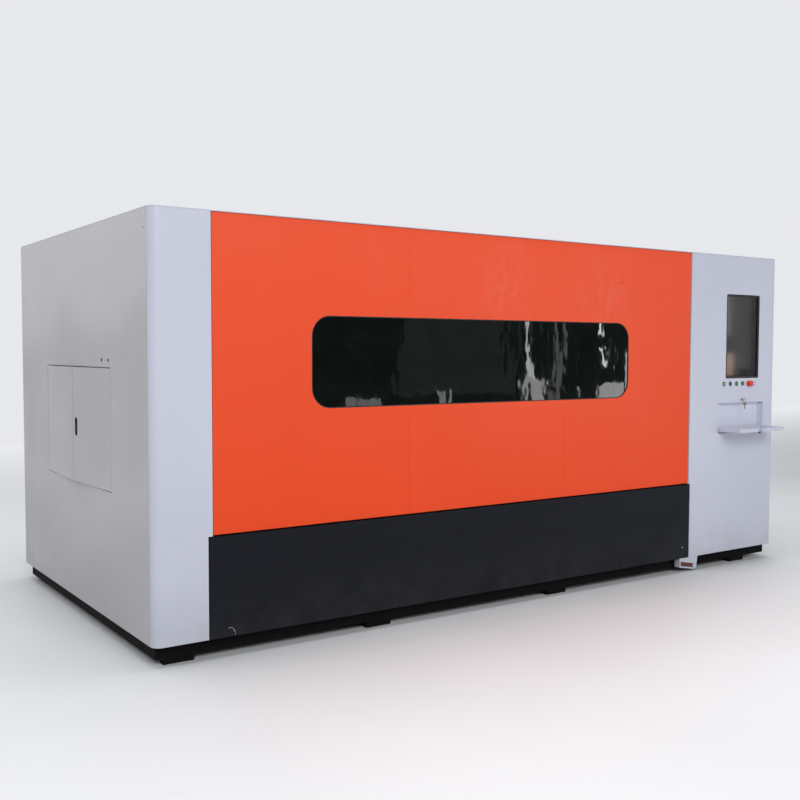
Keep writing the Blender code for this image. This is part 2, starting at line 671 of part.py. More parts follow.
def roof_panels():
    """Shallow trays that close the top; the outer two follow the round front corners."""
    r = CORNER_RADIUS
    width = LENGTH / ROOF_PANELS
    for n in range(ROOF_PANELS):
        x0 = n * width + (SEAM / 2 if n else 0)
        x1 = (n + 1) * width - (SEAM / 2 if n < ROOF_PANELS - 1 else 0)
        outline = [(x1, DEPTH), (x0, DEPTH)]
        outline += arc((r, r), r, 180, 270) if n == 0 else [(x0, 0)]
        outline += arc((LENGTH - r, r), r, 270, 360) if n == ROOF_PANELS - 1 else [(x1, 0)]
        tray = hollow(prism(outline, "Z", HEIGHT - ROOF_RIM, HEIGHT), (0, 0, -1), SHEET)
        piece(f"roof_panel_{n + 1}", tray, WHITE)


def sills():
    """Rails round the base; the long ones have a lower part set back, on four short legs each."""
    x0, x1 = INNER, LENGTH - INNER
    for name, front, side in (("front_sill", INNER, 1), ("rear_sill", DEPTH - INNER, -1)):
        back, apron = front + side * SILL_WIDTH, front + side * APRON_SET_BACK
        section = [(front, UNDER), (front, SILL_TOP), (back, SILL_TOP), (back, APRON_BOTTOM)]
        section += [(apron, APRON_BOTTOM), (apron, UNDER)]
        sill = piece(name, prism(section, "X", x0, x1), BLACK_STEEL)
        near, far, half = min(apron, back), max(apron, back), LEG_WIDTH / 2
        legs = [
            box((place - half, near, 0), (place + half, far, APRON_BOTTOM + SHEET)) for place in LEG_PLACES
        ]
        join(sill, merged(*legs))
    y0, y1 = INNER + SILL_WIDTH + FIT, DEPTH - INNER - SILL_WIDTH - FIT
    width = CROSS_SILL_WIDTH
    starts = {"left": x0, "middle": MIDDLE_SILL_PLACE - width / 2, "right": x1 - width}
    for side, start in starts.items():
        low, high = (start, y0, APRON_BOTTOM), (start + width, y1, SILL_TOP)
        piece(f"{side}_cross_sill", box(low, high), BLACK_STEEL)


def bed():
    """Two long beams with pallet tracks, the members between their ends, and the linear rails."""
    foot = SILL_TOP + FIT
    for name, side, face, inner in (
        ("front_bed_beam", 1, BED_FRONT, BED_INNER_FRONT), ("rear_bed_beam", -1, BED_REAR, BED_INNER_REAR)
    ):
        track = inner + side * TRACK_REACH
        low = TRACK_HEIGHT - TRACK_THICKNESS
        outline = [(face, foot), (inner, foot), (inner, low - TRACK_REACH / 2), (track, low)]
        outline += [(track, TRACK_HEIGHT), (inner, TRACK_HEIGHT), (inner, BED_TOP), (face, BED_TOP)]
        piece(name, prism(outline, "X", BED_START, BED_X1), BED_PAINT)
    y0, y1 = BED_INNER_FRONT + FIT, BED_INNER_REAR - FIT
    top = END_MEMBER_TOP
    for side, start in (("left", BED_START), ("right", BED_X1 - END_MEMBER_WIDTH)):
        low, high = (start, y0, END_MEMBER_BOTTOM), (start + END_MEMBER_WIDTH, y1, top)
        piece(f"bed_{side}_member", box(low, high), BED_PAINT)
    for name, y in (("front_rail", FRONT_RAIL_Y), ("rear_rail", REAR_RAIL_Y)):
        piece(name, prism(rail_section(y, BED_TOP + FIT), "X", RAIL_START, RAIL_START + RAIL_LENGTH), STEEL)


def rail_section(y, bottom):
    """A linear rail's section, with a waist on both sides."""
    half, top = RAIL_WIDTH / 2, bottom + RAIL_HEIGHT
    waist, middle = half - RAIL_WAIST, bottom + RAIL_HEIGHT / 2
    right = [(half, bottom), (half, middle - RAIL_WAIST_HALF), (waist, middle)]
    right += [(half, middle + RAIL_WAIST_HALF), (half, top)]
    return [(y + u, v) for u, v in right] + [(y - u, v) for u, v in right[::-1]]


def gantry():
    """A hollow beam on two trucks, with the cross rails for the carriage on its right face."""
    z0 = BED_TOP + TRUCK_CLEARANCE
    trucks = []
    for y in (FRONT_RAIL_Y, REAR_RAIL_Y):
        groove = RAIL_WIDTH / 2 + RUNNING
        half = TRUCK_WIDTH / 2
        outline = [(y - half, z0), (y - groove, z0), (y - groove, RAIL_TOP + RUNNING)]
        outline += [(y + groove, RAIL_TOP + RUNNING), (y + groove, z0), (y + half, z0)]
        outline += [(y + half, TRUCK_TOP + BEAM_WALL / 2), (y - half, TRUCK_TOP + BEAM_WALL / 2)]
        trucks.append(prism(outline, "X", GANTRY_START, GANTRY_START + TRUCK_LENGTH))
    y0, y1 = BED_FRONT - BEAM_OVERHANG, BED_REAR + BEAM_OVERHANG
    beam = piece("gantry_beam", box((BEAM_X0, y0, TRUCK_TOP), (BEAM_X1, y1, BEAM_TOP)), BED_PAINT)
    join(beam, merged(*trucks))
    wall = BEAM_WALL
    low, high = (BEAM_X0 + wall, y0 - wall, TRUCK_TOP + wall), (BEAM_X1 - wall, y1 + wall, BEAM_TOP - wall)
    cut(beam, box(low, high))
    rails = [
        box((BEAM_X1 - wall / 2, y0, z), (BEAM_X1 + CROSS_RAIL_DEPTH, y1, z + CROSS_RAIL_HEIGHT))
        for z in cross_rail_places()
    ]
    join(beam, merged(*rails))


def cross_rail_places():
    return (TRUCK_TOP + CROSS_RAIL_INSET, BEAM_TOP - CROSS_RAIL_INSET - CROSS_RAIL_HEIGHT)


def carriage_and_head():
    """The carriage wraps the cross rails; its slide carries the cutting head up and down."""
    low, high = cross_rail_places()
    z0, z1 = TRUCK_TOP + RUNNING, BEAM_TOP
    gap, tall = RUNNING, CROSS_RAIL_HEIGHT
    outline = [(PLATE_X1, z0), (PLATE_X1, z1), (CARRIAGE_X0, z1)]
    for rail in (high, low):
        outline += [(CARRIAGE_X0, rail + tall + gap), (PLATE_X0, rail + tall + gap)]
        outline += [(PLATE_X0, rail - gap), (CARRIAGE_X0, rail - gap)]
    outline += [(CARRIAGE_X0, z0)]
    carriage = piece("carriage", prism(outline, "Y", CARRIAGE_Y0, CARRIAGE_Y1), ALUMINIUM)
    cheek_x = (PLATE_X1 - CARRIAGE_PLATE / 2, PLATE_X1 + CHEEK_DEPTH)
    cheeks = [
        box((cheek_x[0], y, z0), (cheek_x[1], y + CHEEK_WIDTH, z1))
        for y in (CARRIAGE_Y0, CARRIAGE_Y1 - CHEEK_WIDTH)
    ]
    join(carriage, merged(*cheeks))
    shelf_z = z1 + FLANGE + BEAM_WALL
    join(carriage, box((cheek_x[0], CARRIAGE_Y0, z1 - BEAM_WALL), (PLATE_X1, CARRIAGE_Y1, shelf_z)))
    shelf_x1 = PLATE_X1 + MOTOR_WIDTH
    low_corner = (PLATE_X1 - BEAM_WALL, CARRIAGE_Y0, shelf_z - BEAM_WALL)
    join(carriage, box(low_corner, (shelf_x1, CARRIAGE_Y1, shelf_z)))
    motor_y = CARRIAGE_MIDDLE - MOTOR_WIDTH / 2
    motor = box(
        (PLATE_X1, motor_y, shelf_z - BEAM_WALL / 2),
        (PLATE_X1 + MOTOR_WIDTH - BEAM_WALL, motor_y + MOTOR_WIDTH, shelf_z + MOTOR_HEIGHT),
    )
    join(carriage, motor)
    y0, y1 = CARRIAGE_Y0 + CHEEK_WIDTH + RUNNING, CARRIAGE_Y1 - CHEEK_WIDTH - RUNNING
    slide_top = SLIDE_BOTTOM + SLIDE_HEIGHT
    piece("z_slide", box((SLIDE_X0, y0, SLIDE_BOTTOM), (SLIDE_X1, y1, slide_top)), ALUMINIUM)
    profile = [(0, 0), *HEAD_PROFILE, (0, HEAD_HEIGHT)]
    place = (HEAD_X, CARRIAGE_MIDDLE, NOZZLE_TIP)
    piece("cutting_head", turned_shape(profile, place, (0, 0, 1), 20), CHROME)


def slat_outline(y0, y1):
    """One saw-tooth slat seen from its end: flat-topped teeth at an even pitch, between two plain ends."""
    count = round((y1 - y0 - 2 * PALLET_RAIL_WIDTH) / TOOTH_PITCH)
    pitch = (y1 - y0) / count
    root = SLAT_TIP - TOOTH_DEPTH
    outline = [(y1, SLAT_BOTTOM), (y1, root)]
    for n in reversed(range(count)):
        middle = y0 + (n + 0.5) * pitch
        outline += [(middle + TOOTH_FLAT / 2, SLAT_TIP), (middle - TOOTH_FLAT / 2, SLAT_TIP)]
        outline += [(y0 + n * pitch, root)]
    return outline + [(y0, SLAT_BOTTOM)]


def pallet():
    """The slat pallet: a welded frame on wheels, with upright saw-tooth slats across it."""
    wide = PALLET_RAIL_WIDTH
    x0, x1, y0, y1 = PALLET_START, PALLET_X1, PALLET_Y0, PALLET_Y1
    z0, z1 = PALLET_RAIL_BOTTOM, PALLET_RAIL_TOP
    frame = piece("slat_pallet", box((x0, y0, z0), (x1, y1, z1)), STEEL)
    cut(frame, box((x0 + wide, y0 + wide, z0 - wide), (x1 - wide, y1 - wide, z1 + wide)))
    count = round((PALLET_LENGTH - 2 * wide) / SLAT_PITCH) - 1
    pitch = (PALLET_LENGTH - 2 * wide) / (count + 1)
    outline = slat_outline(y0 + wide - SLAT_SEAT, y1 - wide + SLAT_SEAT)
    slats = []
    for n in range(count):
        x = x0 + wide + (n + 1) * pitch - SLAT_THICKNESS / 2
        slats.append(prism(outline, "X", x, x + SLAT_THICKNESS))
    join(frame, merged(*slats))
    radius = (z0 + SLAT_SEAT - TRACK_HEIGHT - FIT) / 2
    wheels = []
    for n in range(WHEEL_COUNT):
        x = x0 + WHEEL_INSET + n * (PALLET_LENGTH - 2 * WHEEL_INSET) / (WHEEL_COUNT - 1)
        for y in (y0 + RUNNING, y1 - RUNNING - WHEEL_WIDTH):
            wheels.append(rod((x, y, TRACK_HEIGHT + FIT + radius), (0, 1, 0), radius, WHEEL_WIDTH, 12))
    join(frame, merged(*wheels))


def lift_door():
    """The door over the pallet port, which stops above the slats, and its two guide channels."""
    y_low, y_high = PORT_Y0 - DOOR_LAP, PORT_Y1 + DOOR_LAP
    wall, play = GUIDE_THICKNESS, RUNNING
    for name, web, side in (("door_front_guide", y_low, 1), ("door_rear_guide", y_high, -1)):
        lip, inner = web + side * GUIDE_LAP, web + side * wall
        outline = [(GUIDE_X0, web), (GUIDE_X1, web), (GUIDE_X1, lip), (GUIDE_X1 - wall, lip)]
        outline += [(GUIDE_X1 - wall, inner), (GUIDE_X0 + wall, inner)]
        outline += [(GUIDE_X0 + wall, lip), (GUIDE_X0, lip)]
        piece(name, prism(outline, "Z", GUIDE_BOTTOM, GUIDE_TOP), GALVANISED)
    low = (GUIDE_X0 + wall + play, y_low + wall + play, SLAT_TIP + DOOR_ABOVE_SLATS)
    high = (GUIDE_X1 - wall - play, y_high - wall - play, PORT_TOP + DOOR_LAP)
    piece("lift_door", pan(low, high, (-1, 0, 0)), WHITE)


def rear_wall():
    """The rear wall with its service opening, and two louvred doors on pivots."""
    y0 = DEPTH - FLANGE
    low, high = (FLANGE + SEAM, y0, UNDER), (LENGTH - FLANGE - SEAM, DEPTH, PLATE_TOP)
    wall = piece("rear_wall", pan(low, high, (0, -1, 0)), WHITE)
    flanged_opening(wall, (SERVICE_START, y0, SERVICE_BOTTOM), (SERVICE_END, DEPTH, SERVICE_TOP), (0, -1, 0))
    pivot_y = DEPTH - PIVOT_IN
    hole = PIVOT_RADIUS + PIVOT_PLAY
    holes = [
        rod((x, pivot_y, SERVICE_BOTTOM - SEAM), (0, 0, 1), hole, SERVICE_HEIGHT + 2 * SEAM)
        for x in (SERVICE_START + PIVOT_SIDE, SERVICE_END - PIVOT_SIDE)
    ]
    cut(wall, merged(*holes))
    bottom, top = SERVICE_BOTTOM + LEAF_GAP, SERVICE_TOP - LEAF_GAP
    middle = (SERVICE_START + SERVICE_END) / 2
    for name, edge, side in (
        ("service_door_left", SERVICE_START, 1), ("service_door_right", SERVICE_END, -1)
    ):
        near, free = edge + side * LEAF_GAP, middle - side * LEAF_GAP / 2
        pivot = (edge + side * PIVOT_SIDE, pivot_y, bottom)
        low, high = (min(near, free), DEPTH - LEAF_DEPTH, bottom), (max(near, free), DEPTH, top)
        door = piece(name, pan(low, high, (0, -1, 0)), WHITE, pivot)
        join(door, pivot_stubs(pivot[0], pivot[1], bottom, top))
        centre = (near + free) / 2
        slots = []
        for n in range(LOUVRE_COUNT):
            z = LOUVRE_BOTTOM + n * LOUVRE_PITCH
            half = LOUVRE_WIDTH / 2
            slots.append(
                box((centre - half, DEPTH - 2 * SHEET, z), (centre + half, DEPTH + SHEET, z + LOUVRE_HEIGHT))
            )
        cut(door, merged(*slots))


def electrics():
    """The open electrical cabinet behind the service doors, and the laser source beside it."""
    y0, y1 = REAR_EQUIPMENT, REAR_EQUIPMENT + CABINET_DEPTH
    z0 = SILL_TOP + FIT
    cabinet = piece(
        "electric_cabinet",
        pan((CABINET_X0, y0, z0), (CABINET_X1, y1, CABINET_TOP), (0, 1, 0), CABINET_WALL), BED_PAINT,
    )
    plate = y0 + CABINET_WALL / 2
    blocks = []
    for place, rise, width, height, depth in CABINET_BLOCKS:
        x, z = CABINET_X0 + place, z0 + rise
        blocks.append(box((x, plate, z), (x + width, plate + depth, z + height)))
    join(cabinet, merged(*blocks))
    x0 = CABINET_X1 + SOURCE_GAP
    low, high = (x0, y0, z0), (x0 + SOURCE_WIDTH, y0 + SOURCE_DEPTH, z0 + SOURCE_HEIGHT)
    piece("laser_source", box(low, high), BED_PAINT)


def display():
    """The upright display: a black bezel behind the column's opening, and the screen behind it."""
    sides = (SCREEN_X0, SCREEN_X1, SCREEN_BOTTOM, SCREEN_TOP)
    y0 = SHEET + FIT
    y1 = y0 + BEZEL_DEPTH
    bezel = piece(
        "display_bezel", prism(grown(*sides, BEZEL_BORDER, SCREEN_RADIUS, 3), "Y", y0, y1), BLACK_PLASTIC
    )
    cut(bezel, prism(grown(*sides, -BEZEL_LIP, SCREEN_RADIUS, 3), "Y", 0, y1 + SEAM))
    screen = grown(*sides, BEZEL_BORDER - SHEET, SCREEN_RADIUS, 3)
    piece("display_screen", prism(screen, "Y", y1 + FIT, y1 + FIT + DISPLAY_DEPTH), SCREEN_GLASS)


def socketed(flange, barrel, bore, depth):
    """The profile of a control's body: a flange in front of the sheet and a barrel with a blind bore."""
    front, back = CONTROL_FLANGE, -CONTROL_BARREL
    return [(0, back), (barrel, back), (barrel, FIT), (flange, FIT), (flange, front), (bore, front),
            (bore, -depth), (0, -depth)]


def controls():
    """The row of push buttons, the stop button and the key lock, each in its own body."""
    facing = (0, -1, 0)
    places = control_places()
    depth = CONTROL_BARREL - SHEET * 3
    for n, (x, z) in enumerate(places[:BUTTON_COUNT]):
        body = socketed(BEZEL_FLANGE, BEZEL_BARREL, BUTTON_RADIUS, depth)
        piece(f"button_{n + 1}_bezel", turned_shape(body, (x, 0, z), facing), CHROME)
        r, stand = BUTTON_RADIUS - SHEET / 4, BUTTON_STAND
        back = BUTTON_TRAVEL + FIT - depth
        cap = [(0, back), (r, back), (r, stand - SHEET / 2), (r - SHEET, stand), (0, stand + SHEET / 4)]
        piece(f"button_{n + 1}_cap", turned_shape(cap, (x, 0, z), facing), GREEN, (x, 0, z))
    x, z = places[BUTTON_COUNT]
    body = socketed(STOP_RADIUS, BEZEL_BARREL, STOP_STEM + SHEET / 4, depth)
    piece("stop_base", turned_shape(body, (x, 0, z), facing, 20), AMBER)
    socket = STOP_STAND - LINER_WALL
    stem = [(0, STOP_TRAVEL + FIT - depth), (STOP_STEM, STOP_TRAVEL + FIT - depth)]
    stem += [(STOP_STEM, socket - FIT), (0, socket - FIT)]
    piece("stop_plunger", turned_shape(stem, (x, 0, z), facing), BLACK_PLASTIC, (x, 0, z))
    skirt = CONTROL_FLANGE + STOP_TRAVEL + SHEET
    bore, r, top = STOP_STEM + SHEET / 4, STOP_RADIUS, STOP_STAND
    head = [(0, socket), (bore, socket), (bore, skirt), (STOP_NECK, skirt), (r, skirt + SHEET * 3)]
    head += [(r, top - SHEET * 3), (STOP_SHOULDER, top - SHEET), (STOP_CROWN, top), (0, top)]
    piece("stop_mushroom", turned_shape(head, (x, 0, z), facing, 20), RED, (x, 0, z))
    x, z = places[BUTTON_COUNT + 1]
    body = socketed(LOCK_RADIUS + SHEET, LOCK_RADIUS, PLUG_RADIUS + SHEET / 4, depth)
    piece("lock_barrel", turned_shape(body, (x, 0, z), facing), CHROME)
    plug_face = CONTROL_FLANGE
    plug = [(0, FIT - depth), (PLUG_RADIUS, FIT - depth), (PLUG_RADIUS, plug_face), (0, plug_face)]
    core = piece("lock_plug", turned_shape(plug, (x, 0, z), facing), BLACK_PLASTIC, (x, 0, z))
    half, tall = KEY_THICKNESS / 2, KEY_HEIGHT / 2
    blade = depth - LINER_WALL
    low = (x - half - FIT, -plug_face - SEAM, z - tall - FIT)
    cut(core, box(low, (x + half + FIT, blade, z + tall + FIT)))
    key = piece(
        "lock_key", box((x - half, -plug_face - LINER_WALL, z - tall), (x + half, blade - FIT, z + tall)),
        CHROME, (x, 0, z),
    )
    r = KEY_BOW / 2
    bow = arc((-plug_face - LINER_WALL - r + SHEET, z), r, 0, 330, 11)
    join(key, prism(bow, "X", x - half, x + half))
    cut(key, rod((x - SEAM, -plug_face - LINER_WALL - r - SHEET, z), (1, 0, 0), r / 3, 2 * SEAM, 8))


def socket_plate():
    """A black plate in the column with two narrow data sockets."""
    low, high = SOCKET_MIDDLE - SOCKET_HEIGHT / 2, SOCKET_MIDDLE + SOCKET_HEIGHT / 2
    x0, x1 = SOCKET_X0 + FIT, SOCKET_X0 + SOCKET_WIDTH - FIT
    plate = piece("socket_plate", box((x0, 0, low + FIT), (x1, LINER_WALL, high - FIT)), WHITE)
    pockets = []
    for side in (-1, 1):
        z, half = SOCKET_MIDDLE + side * SOCKET_SLOT_SPACING / 2, SOCKET_SLOT_HEIGHT / 2
        pockets.append(box((x0 + SHEET, -SEAM, z - half), (x1 - SHEET, LINER_WALL - SHEET, z + half)))
    cut(plate, merged(*pockets))


def keyboard_recess():
    """The stepped liner behind the column, its fold-up flap and the flap's latch."""
    wall, y0 = LINER_WALL, LINER_Y0
    low = (RECESS_X0 - wall, y0, RECESS_BOTTOM - wall)
    high = (RECESS_X1 + wall, RECESS_DEPTH, RECESS_TOP + wall)
    floor = RECESS_DEPTH - y0 - RECESS_STEP_DEPTH
    liner = piece("keyboard_recess", pan(low, high, (0, -1, 0), wall, floor), WHITE)
    step = RECESS_STEP
    cut(liner, box(
        (RECESS_X0 + step, y0, RECESS_BOTTOM + step),
        (RECESS_X1 - step, RECESS_DEPTH - SHEET, RECESS_TOP - step),
    ))
    reach = wall - FLAP_SIDE_GAP
    stub = FLAP_SIDE_GAP + reach - SHEET
    left, right = RECESS_X0 + FLAP_SIDE_GAP, RECESS_X1 - FLAP_SIDE_GAP
    hole = FLAP_PIVOT_RADIUS + PIVOT_PLAY
    cut(liner, merged(
        rod((left - stub - SHEET, FLAP_PIVOT_IN, FLAP_PIVOT_Z), (1, 0, 0), hole, 2 * stub),
        rod((right + stub + SHEET, FLAP_PIVOT_IN, FLAP_PIVOT_Z), (-1, 0, 0), hole, 2 * stub),
    ))
    strike = CAM_WIDTH + SHEET
    strike_top = FLAP_PIVOT_Z + FLAP_PIVOT_IN - LATCH_Y + CAM_REACH + SHEET
    cut(liner, box(
        (RECESS_MIDDLE - strike, y0 + SHEET, RECESS_TOP - SHEET),
        (RECESS_MIDDLE + strike, RECESS_STEP_DEPTH, strike_top),
    ))
    pivot = (RECESS_MIDDLE, FLAP_PIVOT_IN, FLAP_PIVOT_Z)
    rear = FLAP_PIVOT_IN + FLAP_PIVOT_UP
    flap = piece(
        "keyboard_flap",
        pan((left, -FLAP_OUT, FLAP_Z0), (right, rear, FLAP_Z0 + FLAP_THICKNESS), (0, 0, 1), SHEET, FLAP_SKIN),
        WHITE, pivot,
    )
    cut(flap, merged(
        box(
            (RECESS_MIDDLE - NOTCH_WIDTH / 2, -FLAP_OUT - SHEET, FLAP_Z0 + FLAP_SKIN),
            (RECESS_MIDDLE + NOTCH_WIDTH / 2, -FLAP_OUT + 2 * SHEET, FLAP_Z0 + FLAP_THICKNESS + SHEET),
        ),
        rod((RECESS_MIDDLE, LATCH_Y, FLAP_Z0 - SHEET), (0, 0, 1), LATCH_SHAFT + PIVOT_PLAY, FLAP_THICKNESS),
    ))
    join(flap, merged(
        rod((left - stub, FLAP_PIVOT_IN, FLAP_PIVOT_Z), (1, 0, 0), FLAP_PIVOT_RADIUS, stub + SHEET),
        rod((right + stub, FLAP_PIVOT_IN, FLAP_PIVOT_Z), (-1, 0, 0), FLAP_PIVOT_RADIUS, stub + SHEET),
    ))
    cam_z = FLAP_SKIN + CAM_RISE
    profile = [(0, -LATCH_KNOB), (LATCH_RADIUS, -LATCH_KNOB), (LATCH_RADIUS, -FIT), (LATCH_SHAFT, -FIT)]
    profile += [(LATCH_SHAFT, cam_z + CAM_THICKNESS), (0, cam_z + CAM_THICKNESS)]
    place = (RECESS_MIDDLE, LATCH_Y, FLAP_Z0)
    latch = piece("flap_latch", turned_shape(profile, place, (0, 0, 1)), BLACK_PLASTIC, place)
    half = CAM_WIDTH / 2
    join(latch, box(
        (RECESS_MIDDLE, LATCH_Y - half, FLAP_Z0 + cam_z),
        (RECESS_MIDDLE + CAM_REACH, LATCH_Y + half, FLAP_Z0 + cam_z + CAM_THICKNESS),
    ))


def cable_trough():
    """A white trough under the skirt, deepest near its right end, with a dark red block in its window."""
    x0, x1 = TROUGH_LEFT, TROUGH_LEFT + TROUGH_WIDTH
    y0 = INNER - FLANGE + 2 * SHEET
    y1, wall = y0 + TROUGH_DEPTH, TROUGH_WALL
    low, heel = x0 + TROUGH_LOW_PLACE, x0 + TROUGH_HEEL_PLACE
    outline = [(x1, UNDER - FIT), (x0, UNDER - FIT), (x0, TROUGH_LEFT_BOTTOM), (low, TROUGH_LOW_BOTTOM)]
    outline += [(heel, TROUGH_HEEL_BOTTOM)]
    trough = piece("cable_trough", prism(outline, "Y", y0, y1), WHITE)
    slope = (TROUGH_LOW_BOTTOM - TROUGH_LEFT_BOTTOM) / TROUGH_LOW_PLACE

    def window(inset):
        left, right = x0 + wall + inset, low - wall - inset
        sill = [TROUGH_LEFT_BOTTOM + TROUGH_LIP + inset + slope * (x - x0) for x in (left, right)]
        tall = TROUGH_WINDOW_HEIGHT - 2 * inset
        return [(left, sill[0]), (right, sill[1]), (right, sill[1] + tall), (left, sill[0] + tall)]

    cut(trough, prism(window(0), "Y", y0 - wall, y1 - wall))
    deep = y0 + TROUGH_BLOCK_INSET
    piece("trough_block", prism(window(2 * FIT), "Y", deep, y1 - wall - FIT), BLOCK_RED)


corner_columns()
front_panels()
window_parts()
end_walls()
hatch_leaves()
roof_panels()
sills()
bed()
gantry()
carriage_and_head()
pallet()
lift_door()
rear_wall()
electrics()
display()
controls()
socket_plate()
keyboard_recess()
cable_trough()
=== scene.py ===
"""Looks of an enclosed sheet-metal laser cutting machine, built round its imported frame."""

import json
import math

import bmesh
import bpy
from mathutils import Matrix, Vector


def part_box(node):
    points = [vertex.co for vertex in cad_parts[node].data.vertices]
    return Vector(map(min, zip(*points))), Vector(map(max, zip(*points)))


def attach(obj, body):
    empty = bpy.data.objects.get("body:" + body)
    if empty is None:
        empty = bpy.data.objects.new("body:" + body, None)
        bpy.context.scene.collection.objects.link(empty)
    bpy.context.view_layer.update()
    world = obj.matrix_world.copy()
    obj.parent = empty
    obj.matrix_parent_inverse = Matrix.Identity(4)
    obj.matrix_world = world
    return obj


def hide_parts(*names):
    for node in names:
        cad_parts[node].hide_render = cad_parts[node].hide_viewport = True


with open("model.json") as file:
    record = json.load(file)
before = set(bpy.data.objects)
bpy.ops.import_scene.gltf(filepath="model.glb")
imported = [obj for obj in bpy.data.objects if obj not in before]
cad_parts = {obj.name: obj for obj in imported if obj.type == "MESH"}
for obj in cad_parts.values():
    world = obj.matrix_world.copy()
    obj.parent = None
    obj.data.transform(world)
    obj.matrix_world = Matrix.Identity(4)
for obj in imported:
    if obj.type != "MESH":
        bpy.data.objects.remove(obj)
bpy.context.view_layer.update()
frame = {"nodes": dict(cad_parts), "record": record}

bpy.ops.object.select_all(action="DESELECT")

# The machine's own places: x from its left end, y from its front plane, z from the floor, in metres.
CORNER = Vector((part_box("left_column")[0][0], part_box("left_column")[0][1], 0.0))

# The camera stands at eye height in front of the left end.
EYE = (-1.639, -4.410, 1.490)
EYE_YAW = 0.6005
EYE_PITCH = -0.0525
EYE_ROLL = 0.0026
LENS = 44.9
SENSOR = 36.0
SHIFT_UP = 0.00375

WHITE = (0.505, 0.523, 0.612)
# The white paint as it stands on the left end: painted shade, darker and less blue than WHITE.
END_WALL_SHADED_WHITE = (0.500, 0.490, 0.505)
ORANGE = (0.720, 0.062, 0.014)
# The orange towards the panel's top, painted lighter: painted light from above.
ORANGE_PAINTED_LIT_TOP = (0.715, 0.082, 0.033)
CHARCOAL = (0.0085, 0.0098, 0.0136)
FLOOR_TONE = (0.62, 0.63, 0.64)
BACKDROP = (0.80, 0.81, 0.83)
FRONT_ROOM = (0.26, 0.27, 0.29)
BACK_ROOM = (0.58, 0.60, 0.63)

# The soft boxes: where each stands, where it looks, its size and its power.
SOFT_BOXES = {
    "key_box": ((-0.5, -8.0, 5.5), (2.2, 0.0, 1.0), (8.0, 4.0), 600),
    "top_box": ((2.3, 1.0, 6.5), (2.3, 1.0, 0.0), (8.0, 5.0), 420),
    "left_box": ((-5.0, 1.5, 4.6), (0.0, 1.2, 1.3), (3.5, 2.0), 80),
}

# What the window and the display mirror: x, z, width, height and power of each soft strip.
WINDOW_LIGHTS = (
    (5.00, 0.72, 0.36, 0.36, 3.5), (6.35, 1.45, 1.60, 1.10, 3.2), (6.32, 0.72, 0.08, 0.50, 1.4),
    (7.68, 1.62, 0.13, 0.95, 10), (7.78, 0.82, 0.42, 0.66, 14), (8.25, 1.35, 0.16, 2.40, 5),
    (9.10, 1.80, 0.14, 0.22, 4), (9.16, 1.40, 0.10, 0.26, 3), (9.30, 0.80, 0.52, 0.42, 11),
    (9.85, 1.10, 0.16, 0.80, 7),
)
DISPLAY_LIGHTS = (
    (11.86, 2.10, 0.14, 0.70, 1.0), (12.20, 1.85, 0.55, 1.30, 1.0), (11.92, 1.28, 0.30, 0.36, 1.0),
)
STRIP_Y = -6.0
STRIP_LEAN = 2.0  # how much further left than itself a strip looks
NEUTRAL = (1, 1, 1)
WARM = (1.0, 0.66, 0.52)  # the last strip's tone

# Behind the machine the floor fades into the backdrop, between these distances.
FADE_START = 1.5
FADE_END = 11.0

FIT = 0.0003  # clearance between pieces that touch

# The directions that turned pieces face.
FRONT = (0, -1, 0)
REAR = (0, 1, 0)
ACROSS = (1, 0, 0)

# The control column's left edge, and its controls' places along the machine and above the floor.
COLUMN_X = 3.736
BUTTON_FIRST = 0.351
BUTTON_PITCH = 0.067
BUTTON_PLACES = tuple(COLUMN_X + BUTTON_FIRST + BUTTON_PITCH * n for n in range(4))
BUTTON_ROW = 1.266
STOP_X = COLUMN_X + 0.614
LOCK_X = COLUMN_X + 0.545
LOCK_Z = 1.155

# Every control's body, as distances out from the column's face.
BARREL_BACK = -0.0300
BORE_FLOOR = -0.0244
BEZEL_RIM = 0.0034
BEZEL_FRONT = 0.0040
FINE_EDGE = 0.0002  # the rounding of a turned ring or a key

# A key is modelled pointing down, from the middle of its bow.
KEY_OUT = 0.023  # the middle of the bow, in front of the column
KEY_HALF = 0.0008  # half the key's thickness
BOW_RADIUS = 0.0112
KEY_HOLE = 0.0045  # the hole's middle, above the bow's
KEY_HOLE_RADIUS = 0.0034
BLADE_HALF = 0.0032
KEY_CUTS = (0.0012, 0.0020, 0.0009, 0.0016, 0.0011)
FIRST_CUT = -0.0350
CUT_PITCH = 0.0038
CUT_WIDTH = 0.0018
RING_RADIUS = 0.0095
RING_WIRE = 0.0006
RING_DROP = 0.0027  # the ring's top, below the lock's axis
SPARE_DROP = 0.0066  # the middle of the spare key's bow, below the ring's foot
SPARE_TURN = 25  # degrees

# Each service door's lock: its height, its radius and how far in from the door's free edge it is,
# counted below zero from an edge at the door's low x.
DOOR_LOCK_IN = {"service_door_left": 0.060, "service_door_right": -0.060}
DOOR_LOCK_HEIGHT = 1.150
DOOR_LOCK_RADIUS = 0.0135

# The left end's finger slot and cable holes, with the pivot that the slot's leaf stands ajar on.
SLOT_Y = 1.0955
SLOT_Z = 1.0705
SLOT_TALL = 0.099
SLOT_WIDE = 0.034
CABLE_HOLES_Y = (0.602, 0.709)
CABLE_HOLES_Z = 1.438
CABLE_HOLE_WIDE = 0.016
HATCH_PIVOT_X = 0.008
HATCH_PIVOT_Y = 0.586
HATCH_AJAR = 2.3  # degrees
SLOT_TRIM_X = -0.0070  # the slot's trim, from the pivot
GROMMET_X = 0.001
RUBBER_RADIUS = 0.0021  # the trim's own section
RUBBER_IN = 0.0002  # how far inside the hole's edge the section's middle runs

